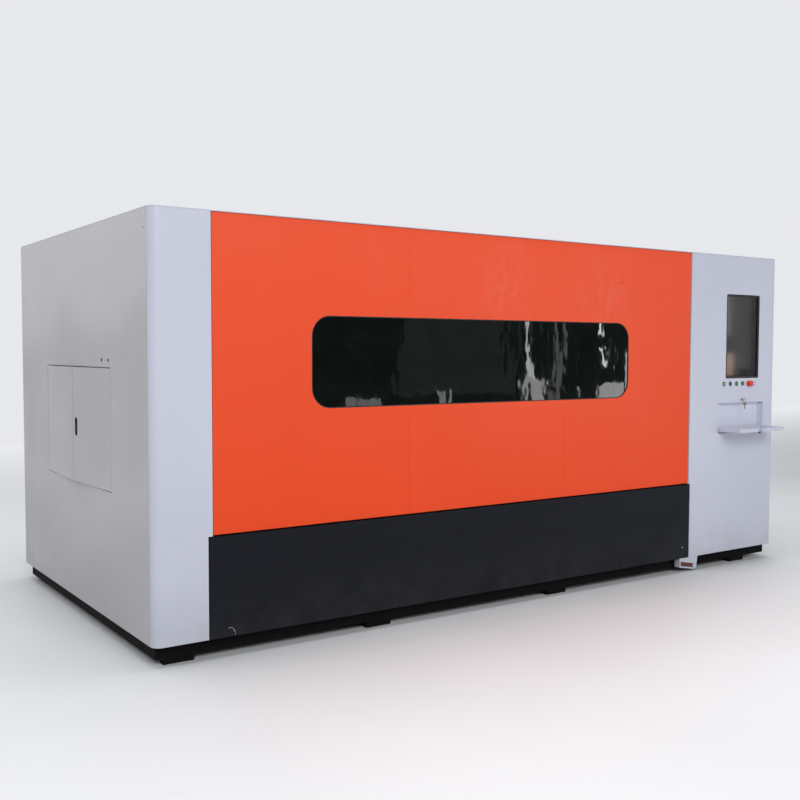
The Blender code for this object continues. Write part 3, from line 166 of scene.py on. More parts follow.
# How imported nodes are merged, rounded and shaded.
MERGE = 0.00002
WELD = 0.000005
FLAT_ANGLE = 0.5  # degrees, below which two faces are one
FOLD_ANGLE = 40  # degrees, above which an edge is rounded
RIM_ANGLE = 34  # degrees, above which a turned ring's edge is rounded
FOLD_STEPS = 3
FOLD_SHARE = 0.2  # the most of a face's depth that one fold takes
SMALL_FOLD = 0.0015
SMOOTH_ANGLE = 32


def at(x, y, z):
    """A place on the machine, in the frame's own coordinates."""
    return Vector((x, y, z)) + CORNER


def add(tree, kind, inputs=None, **settings):
    """Add a node, set it up, and join or fill its inputs."""
    made = tree.nodes.new(kind)
    for key, value in settings.items():
        setattr(made, key, value)
    for key, value in (inputs or {}).items():
        if isinstance(value, bpy.types.NodeSocket):
            tree.links.new(value, made.inputs[key])
        else:
            made.inputs[key].default_value = value
    return made


def start_material(name, roughness, metallic=0.0, specular=0.5, coat=0.0):
    """A Principled material; returns it with its tree, shader and the place on the object."""
    made = bpy.data.materials.new(name)
    made.use_nodes = True
    tree = made.node_tree
    shader = tree.nodes["Principled BSDF"]
    shader.inputs["Roughness"].default_value = roughness
    shader.inputs["Metallic"].default_value = metallic
    shader.inputs["Specular IOR Level"].default_value = specular
    shader.inputs["Coat Weight"].default_value = coat
    place = add(tree, "ShaderNodeTexCoord").outputs["Object"]
    return made, tree, shader, place


def stretched(tree, place, scale, centre=(0, 0, 0)):
    """The place measured from a centre, and scaled along each axis."""
    moved = add(tree, "ShaderNodeVectorMath", {0: place, 1: tuple(centre)}, operation="SUBTRACT")
    return add(tree, "ShaderNodeVectorMath", {0: moved.outputs[0], 1: scale}, operation="MULTIPLY").outputs[0]


def noise(tree, place, scale, detail=3.0, roughness=0.5, distortion=0.0):
    """Soft random values about one half."""
    inputs = {
        "Vector": place, "Scale": scale, "Detail": detail, "Roughness": roughness, "Distortion": distortion
    }
    return add(tree, "ShaderNodeTexNoise", inputs).outputs["Fac"]


def spread(tree, value, low, high, to_low=0.0, to_high=1.0):
    """Map a value from one range to another, and clamp it."""
    inputs = {"Value": value, "From Min": low, "From Max": high, "To Min": to_low, "To Max": to_high}
    return add(tree, "ShaderNodeMapRange", inputs).outputs["Result"]


def calculated(tree, operation, first, second=0.0):
    """One calculation on values; the operation has the Math node's own name for it."""
    return add(tree, "ShaderNodeMath", {0: first, 1: second}, operation=operation).outputs[0]


def blended(tree, factor, first, second):
    """Mix two colours by a factor; a colour may be a tuple or a socket."""
    made = add(tree, "ShaderNodeMix", data_type="RGBA")
    for number, value in ((0, factor), (6, first), (7, second)):
        if isinstance(value, bpy.types.NodeSocket):
            tree.links.new(value, made.inputs[number])
        else:
            made.inputs[number].default_value = (*value, 1.0) if number else value
    return made.outputs[2]


def near(tree, place, centre, reach, scale=(1, 1, 1)):
    """One at a mark's centre, and nothing beyond its reach."""
    moved = stretched(tree, place, scale, centre)
    distance = add(tree, "ShaderNodeVectorMath", {0: moved}, operation="LENGTH").outputs["Value"]
    return spread(tree, distance, 0.0, reach, 1.0, 0.0)


def join_bump(tree, shader, heights):
    """Stack bumps: each height comes with its depth in metres."""
    normal = None
    for height, depth in heights:
        inputs = {"Height": height, "Distance": depth, "Strength": 1.0}
        if normal:
            inputs["Normal"] = normal
        normal = add(tree, "ShaderNodeBump", inputs).outputs["Normal"]
    tree.links.new(normal, shader.inputs["Normal"])


def shade(colour, factor):
    """A colour made lighter or darker."""
    return tuple(value * factor for value in colour)


def toned(tree, value, stops, colour):
    """Darken a colour along a value; stops are (value, factor) pairs, and no factor passes one."""
    low, high = stops[0][0], stops[-1][0]
    ramp = add(tree, "ShaderNodeValToRGB", {"Fac": spread(tree, value, low, high)})
    ramp.color_ramp.interpolation = "EASE"
    elements = ramp.color_ramp.elements
    for number, (where, factor) in enumerate(stops):
        spot = (where - low) / (high - low)
        element = elements[number] if number in (0, 1) else elements.new(spot)
        element.position = spot
        element.color = (factor, factor, factor, 1.0)
    made = add(tree, "ShaderNodeMix", data_type="RGBA", blend_type="MULTIPLY")
    made.inputs[0].default_value = 1.0
    tree.links.new(colour, made.inputs[6])
    tree.links.new(ramp.outputs["Color"], made.inputs[7])
    return made.outputs[2]


def scratch(tree, place, centre, radius, toward, opening, width):
    """One along a thin round scratch: part of a ring about centre, on the side that toward gives."""
    from_centre = stretched(tree, place, (1, 1, 1), at(*centre))
    distance = add(tree, "ShaderNodeVectorMath", {0: from_centre}, operation="LENGTH").outputs["Value"]
    off_ring = calculated(tree, "ABSOLUTE", calculated(tree, "SUBTRACT", distance, radius))
    along = add(tree, "ShaderNodeVectorMath", {0: from_centre, 1: toward}, operation="DOT_PRODUCT")
    side = spread(tree, along.outputs["Value"], radius * opening, radius * (opening + 0.15))
    line = spread(tree, off_ring, width * 0.3, width * 0.6, 1.0, 0.0)
    return calculated(tree, "MULTIPLY", line, side)


def powder_coat(
    name, colour, roughness, dust, smear, gloss=0.45, painted_light_top=None, painted_shade_by_height=None, marks=(), smears=(), scratches=()
):
    """Baked powder paint on thin sheet: slight waves, orange peel, wipe marks, floor dust, painted light and
    shade.
    """
    made, tree, shader, place = start_material(name, roughness, specular=gloss)
    height = add(tree, "ShaderNodeSeparateXYZ", {0: place}).outputs["Z"]
    tone = spread(tree, noise(tree, place, 0.8, 2.0, 0.45), 0.3, 0.7)
    tint = blended(tree, tone, shade(colour, 0.975), shade(colour, 1.02))
    # Painted light: higher up, the colour blends into a lighter top colour.
    if painted_light_top:
        tint = blended(tree, spread(tree, height, 0.6, 2.0), tint, painted_light_top)
    # Painted shade: the colour is darkened along the height, a little unevenly.
    if painted_shade_by_height:
        uneven = calculated(tree, "SUBTRACT", noise(tree, place, 1.1, 2.0, 0.5), 0.5)
        drift = calculated(tree, "MULTIPLY", uneven, 0.8)
        tint = toned(tree, calculated(tree, "ADD", height, drift), painted_shade_by_height, tint)
    cloud = noise(tree, stretched(tree, place, (1.0, 1.0, 2.2)), 1.6, 3.0, 0.5, 0.3)
    wiped = spread(tree, cloud, 0.50, 0.74, 0.0, smear)
    tint = blended(tree, wiped, tint, tuple(0.88 * value + 0.08 for value in colour))
    for centre, reach, scale, strength in smears:
        patch = near(tree, place, at(*centre), reach, scale)
        streaks = noise(tree, stretched(tree, place, (5, 5, 2)), 4.0, 4.0, 0.55, 1.2)
        patch = calculated(tree, "MULTIPLY", patch, spread(tree, streaks, 0.40, 0.65, 0.0, strength))
        tint = blended(tree, patch, tint, tuple(0.72 * value + 0.15 for value in colour))
    speck = spread(tree, noise(tree, place, 46.0, 2.0, 0.5), 0.76, 0.80, 0.0, 0.35)
    tint = blended(tree, speck, tint, shade(colour, 0.60))
    floor_dust = spread(tree, height, 0.10, 0.40, dust, 0.0)
    patchy = spread(tree, noise(tree, place, 7.0, 4.0, 0.55, 0.3), 0.3, 0.75)
    settled = calculated(tree, "MULTIPLY", floor_dust, patchy)
    tint = blended(tree, settled, tint, (0.30, 0.29, 0.27))
    for centre, reach, paint_tone in marks:
        spot = calculated(tree, "MULTIPLY", near(tree, place, at(*centre), reach), 2.5)
        fray = spread(tree, noise(tree, place, 160.0, 2.0), 0.3, 0.7, 0.0, 0.9)
        ragged = calculated(tree, "SUBTRACT", spot, fray)
        tint = blended(tree, spread(tree, ragged, 0.0, 0.35), tint, paint_tone)
    for line, line_tone in scratches:
        tint = blended(tree, scratch(tree, place, *line), tint, line_tone)
    tree.links.new(tint, shader.inputs["Base Color"])
    rub = spread(tree, noise(tree, place, 2.2, 3.0, 0.5, 0.3), 0.3, 0.75, roughness - 0.04, roughness + 0.08)
    rub = calculated(tree, "ADD", rub, calculated(tree, "MULTIPLY", settled, 0.3))
    tree.links.new(rub, shader.inputs["Roughness"])
    sag = noise(tree, stretched(tree, place, (1.0, 1.0, 0.75)), 1.7, 2.0, 0.4)
    peel = noise(tree, place, 150.0, 1.0, 0.4)
    join_bump(tree, shader, [(sag, 0.006), (peel, 0.00003)])
    return made


def steel(name, colour, roughness, grain=(1, 1, 60), grime=0.3):
    """Bare metal with drawn grain, stains and rubbed places."""
    made, tree, shader, place = start_material(name, roughness, metallic=1.0)
    lines = noise(tree, stretched(tree, place, grain), 9.0, 5.0, 0.65)
    stain = spread(tree, noise(tree, place, 6.0, 6.0, 0.65, 0.8), 0.45, 0.75, 0.0, grime)
    tint = blended(tree, spread(tree, lines, 0.3, 0.7), shade(colour, 0.86), shade(colour, 1.08))
    tint = blended(tree, stain, tint, shade(colour, 0.45))
    tree.links.new(tint, shader.inputs["Base Color"])
    rub = spread(tree, lines, 0.25, 0.75, roughness - 0.07, roughness + 0.12)
    tree.links.new(rub, shader.inputs["Roughness"])
    join_bump(tree, shader, [(lines, 0.0003)])
    return made


def plastic(name, colour, roughness, specular=0.5, coat=0.0, grain=900.0, wear=0.2):
    """Moulded plastic, rubber or matt black paint: a fine grain and faint pale mottling."""
    made, tree, shader, place = start_material(name, roughness, specular=specular, coat=coat)
    mottle = spread(tree, noise(tree, place, 38.0, 4.0, 0.6), 0.35, 0.7, 0.0, wear)
    tint = blended(tree, mottle, colour, tuple(0.8 * value + 0.035 for value in colour))
    tree.links.new(tint, shader.inputs["Base Color"])
    rub = spread(tree, noise(tree, place, 85.0, 3.0), 0.3, 0.7, roughness - 0.05, roughness + 0.06)
    tree.links.new(rub, shader.inputs["Roughness"])
    join_bump(tree, shader, [(noise(tree, place, grain, 1.0), 0.00003)])
    return made


def window_glass(name):
    """Dark green laser-safe sheet: glossy, slightly wavy, with faint wipe marks."""
    made, tree, shader, place = start_material(name, 0.03, specular=0.12)
    shader.inputs["IOR"].default_value = 1.49
    cloud = noise(tree, stretched(tree, place, (1.0, 1.0, 1.6)), 3.0, 4.0, 0.6, 1.0)
    tint = blended(tree, spread(tree, cloud, 0.35, 0.7), (0.0012, 0.0024, 0.0019), (0.0030, 0.0056, 0.0046))
    tree.links.new(tint, shader.inputs["Base Color"])
    film = noise(tree, stretched(tree, place, (3.0, 3.0, 1.0)), 6.0, 6.0, 0.65, 2.0)
    tree.links.new(spread(tree, film, 0.5, 0.8, 0.02, 0.10), shader.inputs["Roughness"])
    waves = noise(tree, stretched(tree, place, (1.0, 1.0, 0.30)), 3.4, 1.0, 0.3, 0.4)
    ripple = noise(tree, stretched(tree, place, (1.0, 1.0, 0.6)), 16.0, 1.0, 0.3)
    join_bump(tree, shader, [(waves, 0.0045), (ripple, 0.0004)])
    return made


def display_glass(name):
    """The switched-off display: deep black under a clear face, with a fine grain and a film of dust."""
    made, tree, shader, place = start_material(name, 0.06, coat=0.3)
    shader.inputs["Coat Roughness"].default_value = 0.03
    film = noise(tree, stretched(tree, place, (2.0, 2.0, 1.0)), 9.0, 6.0, 0.65, 1.5)
    tint = blended(tree, spread(tree, film, 0.45, 0.75), (0.006, 0.006, 0.007), (0.018, 0.017, 0.017))
    tree.links.new(tint, shader.inputs["Base Color"])
    tree.links.new(spread(tree, film, 0.4, 0.8, 0.05, 0.10), shader.inputs["Roughness"])
    join_bump(tree, shader, [(noise(tree, place, 2200.0, 0.0), 0.000004)])
    return made


def make_materials():
    """Every finish on the machine, by the name of its paint or metal."""
    nick = (0.45, 0.47, 0.50)
    return {
        "white": powder_coat(
            "white_powder_coat", WHITE, 0.34, dust=0.30, smear=0.05,
            # Painted shade: the white is darkened towards the floor and towards the top.
            painted_shade_by_height=[(0.0, 0.88), (0.45, 0.95), (1.1, 1.0), (2.2, 0.94)],
            marks=[((0.002, -0.001, 0.278), 0.012, (0.20, 0.19, 0.18))],
        ),
        "shaded_end_white": powder_coat(
            "end_wall_shaded_powder_coat", END_WALL_SHADED_WHITE, 0.35, dust=0.20, smear=0.05,
            # Painted shade and painted reflection bands down the end wall's height.
            painted_shade_by_height=[
                (0.0, 0.80), (0.45, 0.76), (0.78, 0.87), (1.02, 0.81), (1.42, 0.77), (1.75, 0.95), (2.3, 0.99)
            ],
            marks=[((0.0, 0.083, 2.055), 0.010, (0.22, 0.22, 0.24))],
            scratches=[
                (((0.0, 1.12, 0.66), 0.030, (0, 0.7, 0.7), 0.75, 0.004), shade(END_WALL_SHADED_WHITE, 0.55)),
                (((0.0, 1.10, 0.645), 0.022, (0, -0.6, 0.8), 0.80, 0.003), shade(END_WALL_SHADED_WHITE, 0.60)),
            ],
        ),
        # Painted light: the recess liner is the white made lighter, as if the recess were well lit.
        "painted_light_liner": powder_coat("liner_painted_light_powder_coat", shade(WHITE, 1.12), 0.36, dust=0.1, smear=0.05),
        # The orange's lighter top is painted light.
        "orange": powder_coat(
            "orange_powder_coat", ORANGE, 0.36, dust=0.0, smear=0.03, gloss=0.14, painted_light_top=ORANGE_PAINTED_LIT_TOP,
            marks=[((3.077, 0.006, 1.918), 0.006, (0.02, 0.02, 0.02))],
            smears=[
                ((2.11, 0.006, 1.88), 0.30, (1.0, 1.0, 0.8), 0.22),
                ((2.92, 0.006, 1.83), 0.36, (1.0, 1.0, 0.8), 0.20),
                ((1.225, 0.006, 1.97), 0.12, (2.2, 1.0, 0.6), 0.18),
            ],
        ),
        "charcoal": powder_coat(
            "charcoal_powder_coat", CHARCOAL, 0.42, dust=0.04, smear=0.01, gloss=0.08,
            marks=[((3.685, 0.0, 0.173), 0.006, nick)],
            scratches=[
                (((0.385, 0.0, 0.120), 0.024, (0.515, 0, 0.857), 0.55, 0.0018), nick),
                (((0.392, 0.0, 0.112), 0.020, (0.9, 0, 0.3), 0.70, 0.0014), nick),
            ],
        ),
        "black": plastic(
            "black_painted_steel", (0.0045, 0.0045, 0.005), 0.65, specular=0.05, grain=300.0, wear=0.02
        ),
        "bed": powder_coat("grey_bed_paint", (0.20, 0.21, 0.22), 0.45, dust=0.5, smear=0.3),
        "steel": steel("ground_steel", (0.52, 0.52, 0.53), 0.32),
        "slats": steel("scaled_slat_steel", (0.22, 0.19, 0.17), 0.55, (40, 40, 3), grime=0.8),
        "aluminium": steel("milled_aluminium", (0.60, 0.61, 0.63), 0.34, (60, 1, 1), grime=0.15),
        "galvanised": steel("galvanised_sheet", (0.44, 0.46, 0.48), 0.42, (8, 8, 8), grime=0.4),
        "chrome": steel("chromed_metal", (0.62, 0.62, 0.64), 0.14, (30, 30, 30), grime=0.1),
        "dark_chrome": steel("smoked_chrome", (0.10, 0.10, 0.105), 0.16, (30, 30, 30), grime=0.1),
        "brass": steel("brassy_metal", (0.40, 0.27, 0.13), 0.30, (30, 30, 30), grime=0.3),
        "rubber": plastic("black_seal_rubber", (0.010, 0.010, 0.010), 0.62, wear=0.35),
        "glass": window_glass("laser_safe_window"),
        "black_plastic": plastic("black_moulded_plastic", (0.010, 0.010, 0.011), 0.36),
        "display": display_glass("display_face"),
        "green": plastic("green_button_lens", (0.015, 0.16, 0.06), 0.20, coat=0.4),
        "pale_green": plastic("pale_button_lens", (0.30, 0.42, 0.30), 0.20, coat=0.4),
        "red": plastic("red_stop_plastic", (0.62, 0.012, 0.014), 0.30, coat=0.2),
        "amber": plastic("amber_base_plastic", (0.80, 0.20, 0.03), 0.34),
        "dark_red": plastic("dark_red_plastic", (0.085, 0.010, 0.009), 0.48, wear=0.4),
    }


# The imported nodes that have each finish.
NODE_PAINT = {
    "white": (
        "left_column", "right_column", "right_end_wall", "roof_panel_1", "roof_panel_2", "roof_panel_3",
        "lift_door", "rear_wall", "service_door_left", "service_door_right", "keyboard_flap",
        "cable_trough", "socket_plate",
    ),
    # The keyboard recess takes the white's painted light copy.
    "painted_light_liner": ("keyboard_recess",),
    # The left end wall and the hatch leaves take the white's painted shade copy.
    "shaded_end_white": ("left_end_wall", "hatch_front_leaf", "hatch_rear_leaf"),
    "orange": ("front_panel",),
    "charcoal": ("front_skirt",),
    "black": ("front_sill", "rear_sill", "left_cross_sill", "middle_cross_sill", "right_cross_sill"),
    "bed": (
        "front_bed_beam", "rear_bed_beam", "bed_left_member", "bed_right_member", "gantry_beam",
        "electric_cabinet", "laser_source",
    ),
    "steel": ("front_rail", "rear_rail"),
    "slats": ("slat_pallet",),
    "galvanised": ("door_front_guide", "door_rear_guide"),
    "aluminium": ("carriage", "z_slide"),
    "chrome": (
        "cutting_head", "button_1_bezel", "button_2_bezel", "button_3_bezel", "button_4_bezel",
        "lock_barrel", "lock_key",
    ),
    "rubber": ("window_seal",),
    "glass": ("window_glass",),
    "black_plastic": ("display_bezel", "stop_plunger", "lock_plug", "flap_latch"),
    "display": ("display_screen",),
    "pale_green": ("button_1_cap",),
    "green": ("button_2_cap", "button_3_cap", "button_4_cap"),
    "red": ("stop_mushroom",),
    "amber": ("stop_base",),
    "dark_red": ("trough_block",),
}
# How wide the edges of folded sheets and beams are rounded; the other nodes take the small fold.
FOLDS = {
    "left_column": 0.003, "right_column": 0.003, "left_end_wall": 0.0025, "right_end_wall": 0.0025,
    "rear_wall": 0.0025, "front_panel": 0.0025, "front_skirt": 0.0025, "roof_panel_1": 0.0025,
    "roof_panel_2": 0.0025, "roof_panel_3": 0.0025, "hatch_front_leaf": 0.002, "hatch_rear_leaf": 0.002,
    "service_door_left": 0.002, "service_door_right": 0.002, "front_bed_beam": 0.006, "rear_bed_beam": 0.006,
    "gantry_beam": 0.004, "cable_trough": 0.002,
}

# Nodes that are modelled anew rather than dressed.
REMODELLED = {
    "stop_base", "stop_mushroom", "lock_barrel", "lock_key",
    *(f"button_{number}_{part}" for number in (1, 2, 3, 4) for part in ("bezel", "cap")),
}
BODY_OF = {node: body for body, nodes in frame["record"]["behaviour"]["bodies"].items() for node in nodes}


def paint(obj, material):
    """Give an object one material."""
    obj.data.materials.clear()
    obj.data.materials.append(material)


def modified(made, kind, **settings):
    """Add a modifier, set it up and apply it."""
    bpy.ops.object.select_all(action="DESELECT")
    bpy.context.view_layer.objects.active = made
    made.select_set(True)
    modifier = made.modifiers.new("shaping", kind)
    for key, value in settings.items():
        setattr(modifier, key, value)
    bpy.ops.object.modifier_apply(modifier="shaping")
    made.select_set(False)


def hand_over(made, finish, body, stands_for=(), smooth=SMOOTH_ANGLE):
    """Give a finished piece its shading, paint and body, and hide the nodes it stands for."""
    bpy.ops.object.select_all(action="DESELECT")
    bpy.context.view_layer.objects.active = made
    made.select_set(True)
    bpy.ops.object.shade_smooth_by_angle(angle=math.radians(smooth))
    modified(made, "WEIGHTED_NORMAL", keep_sharp=True, weight=50)
    paint(made, materials[finish])
    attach(made, body)
    if stands_for:
        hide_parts(*stands_for)


def stand_in(made, finish, node, smooth=SMOOTH_ANGLE):
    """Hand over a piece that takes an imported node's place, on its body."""
    hand_over(made, finish, BODY_OF[node], (node,), smooth)


def healed(made, reach=WELD):
    """Weld points that a bevel or a cut has brought together, and drop edges and faces without size."""
    shape = bmesh.new()
    shape.from_mesh(made.data)
    bmesh.ops.remove_doubles(shape, verts=shape.verts, dist=reach)
    bmesh.ops.dissolve_degenerate(shape, edges=shape.edges, dist=reach)
    shape.to_mesh(made.data)
    shape.free()


def depth_from(edge, face):
    """How far a face reaches from one of its edges."""
    start = edge.verts[0].co
    along = (edge.verts[1].co - start).normalized()
    return max((vert.co - start - along * (vert.co - start).dot(along)).length for vert in face.verts)


def dress(node, finish, fold):
    """A finer stand-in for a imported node: its merged copy, with every outer fold and edge rounded."""
    shape = bmesh.new()
    shape.from_mesh(frame["nodes"][node].data)
    bmesh.ops.remove_doubles(shape, verts=shape.verts, dist=MERGE)
    bmesh.ops.dissolve_limit(
        shape, angle_limit=math.radians(FLAT_ANGLE), verts=shape.verts, edges=shape.edges,
        use_dissolve_boundaries=False,
    )
    weight = shape.edges.layers.float.new("bevel_weight_edge")
    for edge in shape.edges:
        if len(edge.link_faces) != 2 or not edge.is_convex:
            continue
        if edge.calc_face_angle() > math.radians(FOLD_ANGLE):
            reach = min(depth_from(edge, face) for face in edge.link_faces)
            edge[weight] = min(1.0, FOLD_SHARE * reach / fold)
    mesh = bpy.data.meshes.new(f"{node}_finished")
    shape.to_mesh(mesh)
    shape.free()
    made = bpy.data.objects.new(f"{node}_finished", mesh)
    bpy.context.scene.collection.objects.link(made)
    modified(
        made, "BEVEL", width=fold, segments=FOLD_STEPS, limit_method="WEIGHT", use_clamp_overlap=True,
        miter_outer="MITER_SHARP",
    )
    if node in DOOR_LOCK_IN:
        hole = [(DOOR_LOCK_RADIUS + FIT, -0.010), (DOOR_LOCK_RADIUS + FIT, 0.010)]
        combined(made, turned("hole", hole, lock_place(node), REAR), "DIFFERENCE")
    healed(made)
    stand_in(made, finish, node)


def turned(name, profile, place, facing, soften=0.0, sides=48):
    """A round piece: a disc drawn out ring by ring through (radius, distance) pairs."""
    bpy.ops.object.select_all(action="DESELECT")
    radius, distance = profile[0]
    bpy.ops.mesh.primitive_circle_add(vertices=sides, radius=radius, fill_type="NGON", location=(0, 0, 0))
    made = bpy.context.object
    made.name = name
    bpy.ops.object.mode_set(mode="EDIT")
    bpy.ops.mesh.select_all(action="SELECT")
    bpy.ops.transform.translate(value=(0, 0, distance))
    for next_radius, next_distance in profile[1:]:
        step = (0, 0, next_distance - distance)
        bpy.ops.mesh.extrude_region_move(TRANSFORM_OT_translate={"value": step})
        grow = next_radius / radius
        bpy.ops.transform.resize(value=(grow, grow, 1), center_override=(0, 0, next_distance))
        radius, distance = next_radius, next_distance
    bpy.ops.mesh.select_all(action="SELECT")
    bpy.ops.mesh.normals_make_consistent(inside=False)
    bpy.ops.object.mode_set(mode="OBJECT")
    if soften:
        modified(
            made, "BEVEL", width=soften, segments=2, limit_method="ANGLE", angle_limit=math.radians(RIM_ANGLE)
        )
    turn = Vector((0, 0, 1)).rotation_difference(Vector(facing)).to_matrix().to_4x4()
    made.data.transform(Matrix.Translation(place) @ turn)
    return made


def block(name, low, high):
    """A box between two corners, in the frame's coordinates, with its place in its mesh."""
    bpy.ops.object.select_all(action="DESELECT")
    bpy.ops.mesh.primitive_cube_add(size=1, location=(0, 0, 0))
    made = bpy.context.object
    made.name = name
    middle = (Vector(low) + Vector(high)) / 2
    made.data.transform(Matrix.Translation(middle) @ Matrix.Diagonal((*(Vector(high) - Vector(low)), 1)))
    return made


def combined(made, other, operation):
    """Join a second shape to a piece, or cut it out, and drop the second shape."""
    modified(made, "BOOLEAN", operation=operation, solver="EXACT", object=other)
    bpy.data.objects.remove(other, do_unlink=True)


def drilled_key(name):
    """A key that points down: a round bow with a hole, a shoulder and a blade with cuts."""
    made = turned(name, [(BOW_RADIUS, -KEY_HALF), (BOW_RADIUS, KEY_HALF)], (0, 0, 0), ACROSS)
    combined(made, block("shoulder", (-KEY_HALF, -0.0045, -0.0145), (KEY_HALF, 0.0045, -0.0080)), "UNION")
    blade = block("blade", (-KEY_HALF, -BLADE_HALF, -0.0367), (KEY_HALF, BLADE_HALF, -0.0130))
    combined(made, blade, "UNION")
    through = [(KEY_HOLE_RADIUS, -0.002), (KEY_HOLE_RADIUS, 0.002)]
    combined(made, turned("hole", through, (0, 0, KEY_HOLE), ACROSS, sides=24), "DIFFERENCE")
    for number, depth in enumerate(KEY_CUTS):
        low = FIRST_CUT + number * CUT_PITCH
        notch = block("notch", (-0.002, BLADE_HALF - depth, low), (0.002, 0.0042, low + CUT_WIDTH))
        combined(made, notch, "DIFFERENCE")
    groove = block("groove", (0.0004, -0.0006, -0.0400), (0.0020, 0.0008, -0.0150))
    combined(made, groove, "DIFFERENCE")
    healed(made, MERGE)
    modified(
        made, "BEVEL", width=FINE_EDGE, segments=1, limit_method="ANGLE", angle_limit=math.radians(FOLD_ANGLE)
    )
    healed(made)
    return made


def push_buttons():
    """Four illuminated buttons: a domed lens in a chromed ring, with its barrel behind."""
    for number, x in enumerate(BUTTON_PLACES, 1):
        place = at(x, 0.0, BUTTON_ROW)
        ring = [(0.0115, BARREL_BACK), (0.0115, FIT), (0.0155, FIT), (0.0155, 0.0022), (0.0148, BEZEL_RIM)]
        ring += [(0.0136, BEZEL_FRONT), (0.0112, BEZEL_FRONT), (0.0104, BEZEL_RIM), (0.0097, BEZEL_RIM)]
        ring += [(0.0097, BORE_FLOOR)]
        made = turned(f"button_{number}_ring", ring, place, FRONT, FINE_EDGE)
        stand_in(made, "dark_chrome", f"button_{number}_bezel")
        lens = [(0.0088, -0.0205), (0.0088, 0.0050), (0.0084, 0.0060), (0.0072, 0.0067), (0.0052, 0.0072)]
        lens += [(0.0028, 0.0075), (0.0008, 0.0076)]
        made = turned(f"button_{number}_lens", lens, place, FRONT)
        stand_in(made, "pale_green" if number == 1 else "green", f"button_{number}_cap")


def stop_button():
    """The emergency stop: an amber base and a red mushroom with a rolled edge."""
    place = at(STOP_X, 0.0, BUTTON_ROW)
    base = [(0.0115, BARREL_BACK), (0.0115, FIT), (0.0200, FIT), (0.0200, 0.0020), (0.0192, BEZEL_RIM)]
    base += [(0.0176, BEZEL_FRONT), (0.0095, BEZEL_FRONT), (0.0086, BEZEL_RIM), (0.0068, BEZEL_RIM)]
    base += [(0.0068, BORE_FLOOR)]
    stand_in(turned("stop_ring", base, place, FRONT, FINE_EDGE), "amber", "stop_base")
    head = [(0.0066, 0.0240), (0.0066, 0.0110), (0.0118, 0.0110), (0.0150, 0.0116), (0.0178, 0.0134)]
    head += [(0.0194, 0.0160), (0.0200, 0.0192), (0.0200, 0.0258), (0.0196, 0.0284), (0.0184, 0.0306)]
    head += [(0.0164, 0.0322), (0.0138, 0.0331), (0.0100, 0.0334), (0.0094, 0.0330), (0.0060, 0.0333)]
    head += [(0.0030, 0.0335), (0.0008, 0.0336)]
    stand_in(turned("stop_head", head, place, FRONT), "red", "stop_mushroom", smooth=50)


def key_lock():
    """The key lock's barrel and key, with a second key hanging from the first one's ring."""
    barrel = [(0.0100, BARREL_BACK), (0.0100, FIT), (0.0120, FIT), (0.0120, 0.0020), (0.0114, 0.0032)]
    barrel += [(0.0104, BEZEL_FRONT), (0.0084, BEZEL_FRONT), (0.0077, BEZEL_RIM), (0.0071, BEZEL_RIM)]
    barrel += [(0.0071, BORE_FLOOR)]
    made = turned("lock_ring", barrel, at(LOCK_X, 0.0, LOCK_Z), FRONT, FINE_EDGE)
    stand_in(made, "chrome", "lock_barrel")
    key = drilled_key("key_in_lock")
    inward = Matrix.Rotation(math.radians(90), 4, "X")
    key.data.transform(Matrix.Translation(at(LOCK_X, -KEY_OUT, LOCK_Z)) @ inward)
    stand_in(key, "chrome", "lock_key")
    hole_y = -KEY_OUT - KEY_HOLE
    ring_z = LOCK_Z - RING_DROP - RING_RADIUS
    bpy.ops.object.select_all(action="DESELECT")
    bpy.ops.mesh.primitive_torus_add(
        major_radius=RING_RADIUS, minor_radius=RING_WIRE, major_segments=40, minor_segments=8,
        location=(0, 0, 0),
    )
    loop = bpy.context.object
    loop.name = "key_ring"
    upright = Matrix.Rotation(math.radians(90), 4, "X")
    loop.data.transform(Matrix.Translation(at(LOCK_X, hole_y, ring_z)) @ upright)
    hand_over(loop, "chrome", BODY_OF["lock_key"])
    spare = drilled_key("spare_key")
    hang = Matrix.Rotation(math.radians(SPARE_TURN), 4, "Z")
    spare_z = ring_z - RING_RADIUS - SPARE_DROP
    spare.data.transform(Matrix.Translation(at(LOCK_X, hole_y, spare_z)) @ hang)
    hand_over(spare, "brass", BODY_OF["lock_key"])


def lock_place(node):
    """Where a service door's lock sits on its outer face."""
    low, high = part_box(node)
    inset = DOOR_LOCK_IN[node]
    return Vector(((high[0] if inset > 0 else low[0]) - inset, high[1], DOOR_LOCK_HEIGHT))


def door_locks():
    """A flush quarter-turn lock in each service door: a ring, a sunk face and a square drive."""
    for node in DOOR_LOCK_IN:
        edge = DOOR_LOCK_RADIUS
        body = [(edge, -0.0160), (edge, -0.0008), (edge - 0.0006, -0.0003), (edge - 0.0030, -0.0003)]
        body += [(edge - 0.0036, -0.0009), (edge - 0.0036, -0.0085)]
        made = turned(f"{node}_lock", body, lock_place(node), REAR)
        drive = turned("drive", [(0.0050, -0.0100), (0.0050, -0.0012)], lock_place(node), REAR, sides=4)
        combined(made, drive, "UNION")
        hand_over(made, "chrome", BODY_OF[node])


def rubber_loop(name, tall, wide):
    """An upright rubber loop that faces the left end, straight-sided where it is taller than wide."""
    bpy.ops.object.select_all(action="DESELECT")
    bpy.ops.mesh.primitive_torus_add(
        major_radius=wide / 2 - RUBBER_IN, minor_radius=RUBBER_RADIUS, major_segments=32, minor_segments=10,
        location=(0, 0, 0),
    )
    made = bpy.context.object
    made.name = name
    straight = (tall - wide) / 2
    for vert in made.data.vertices:
        if abs(vert.co.y) > 1e-5:
            vert.co.y += math.copysign(straight, vert.co.y)
    made.data.transform(Matrix.Rotation(math.radians(90), 4, "Z") @ Matrix.Rotation(math.radians(90), 4, "X"))
    return made


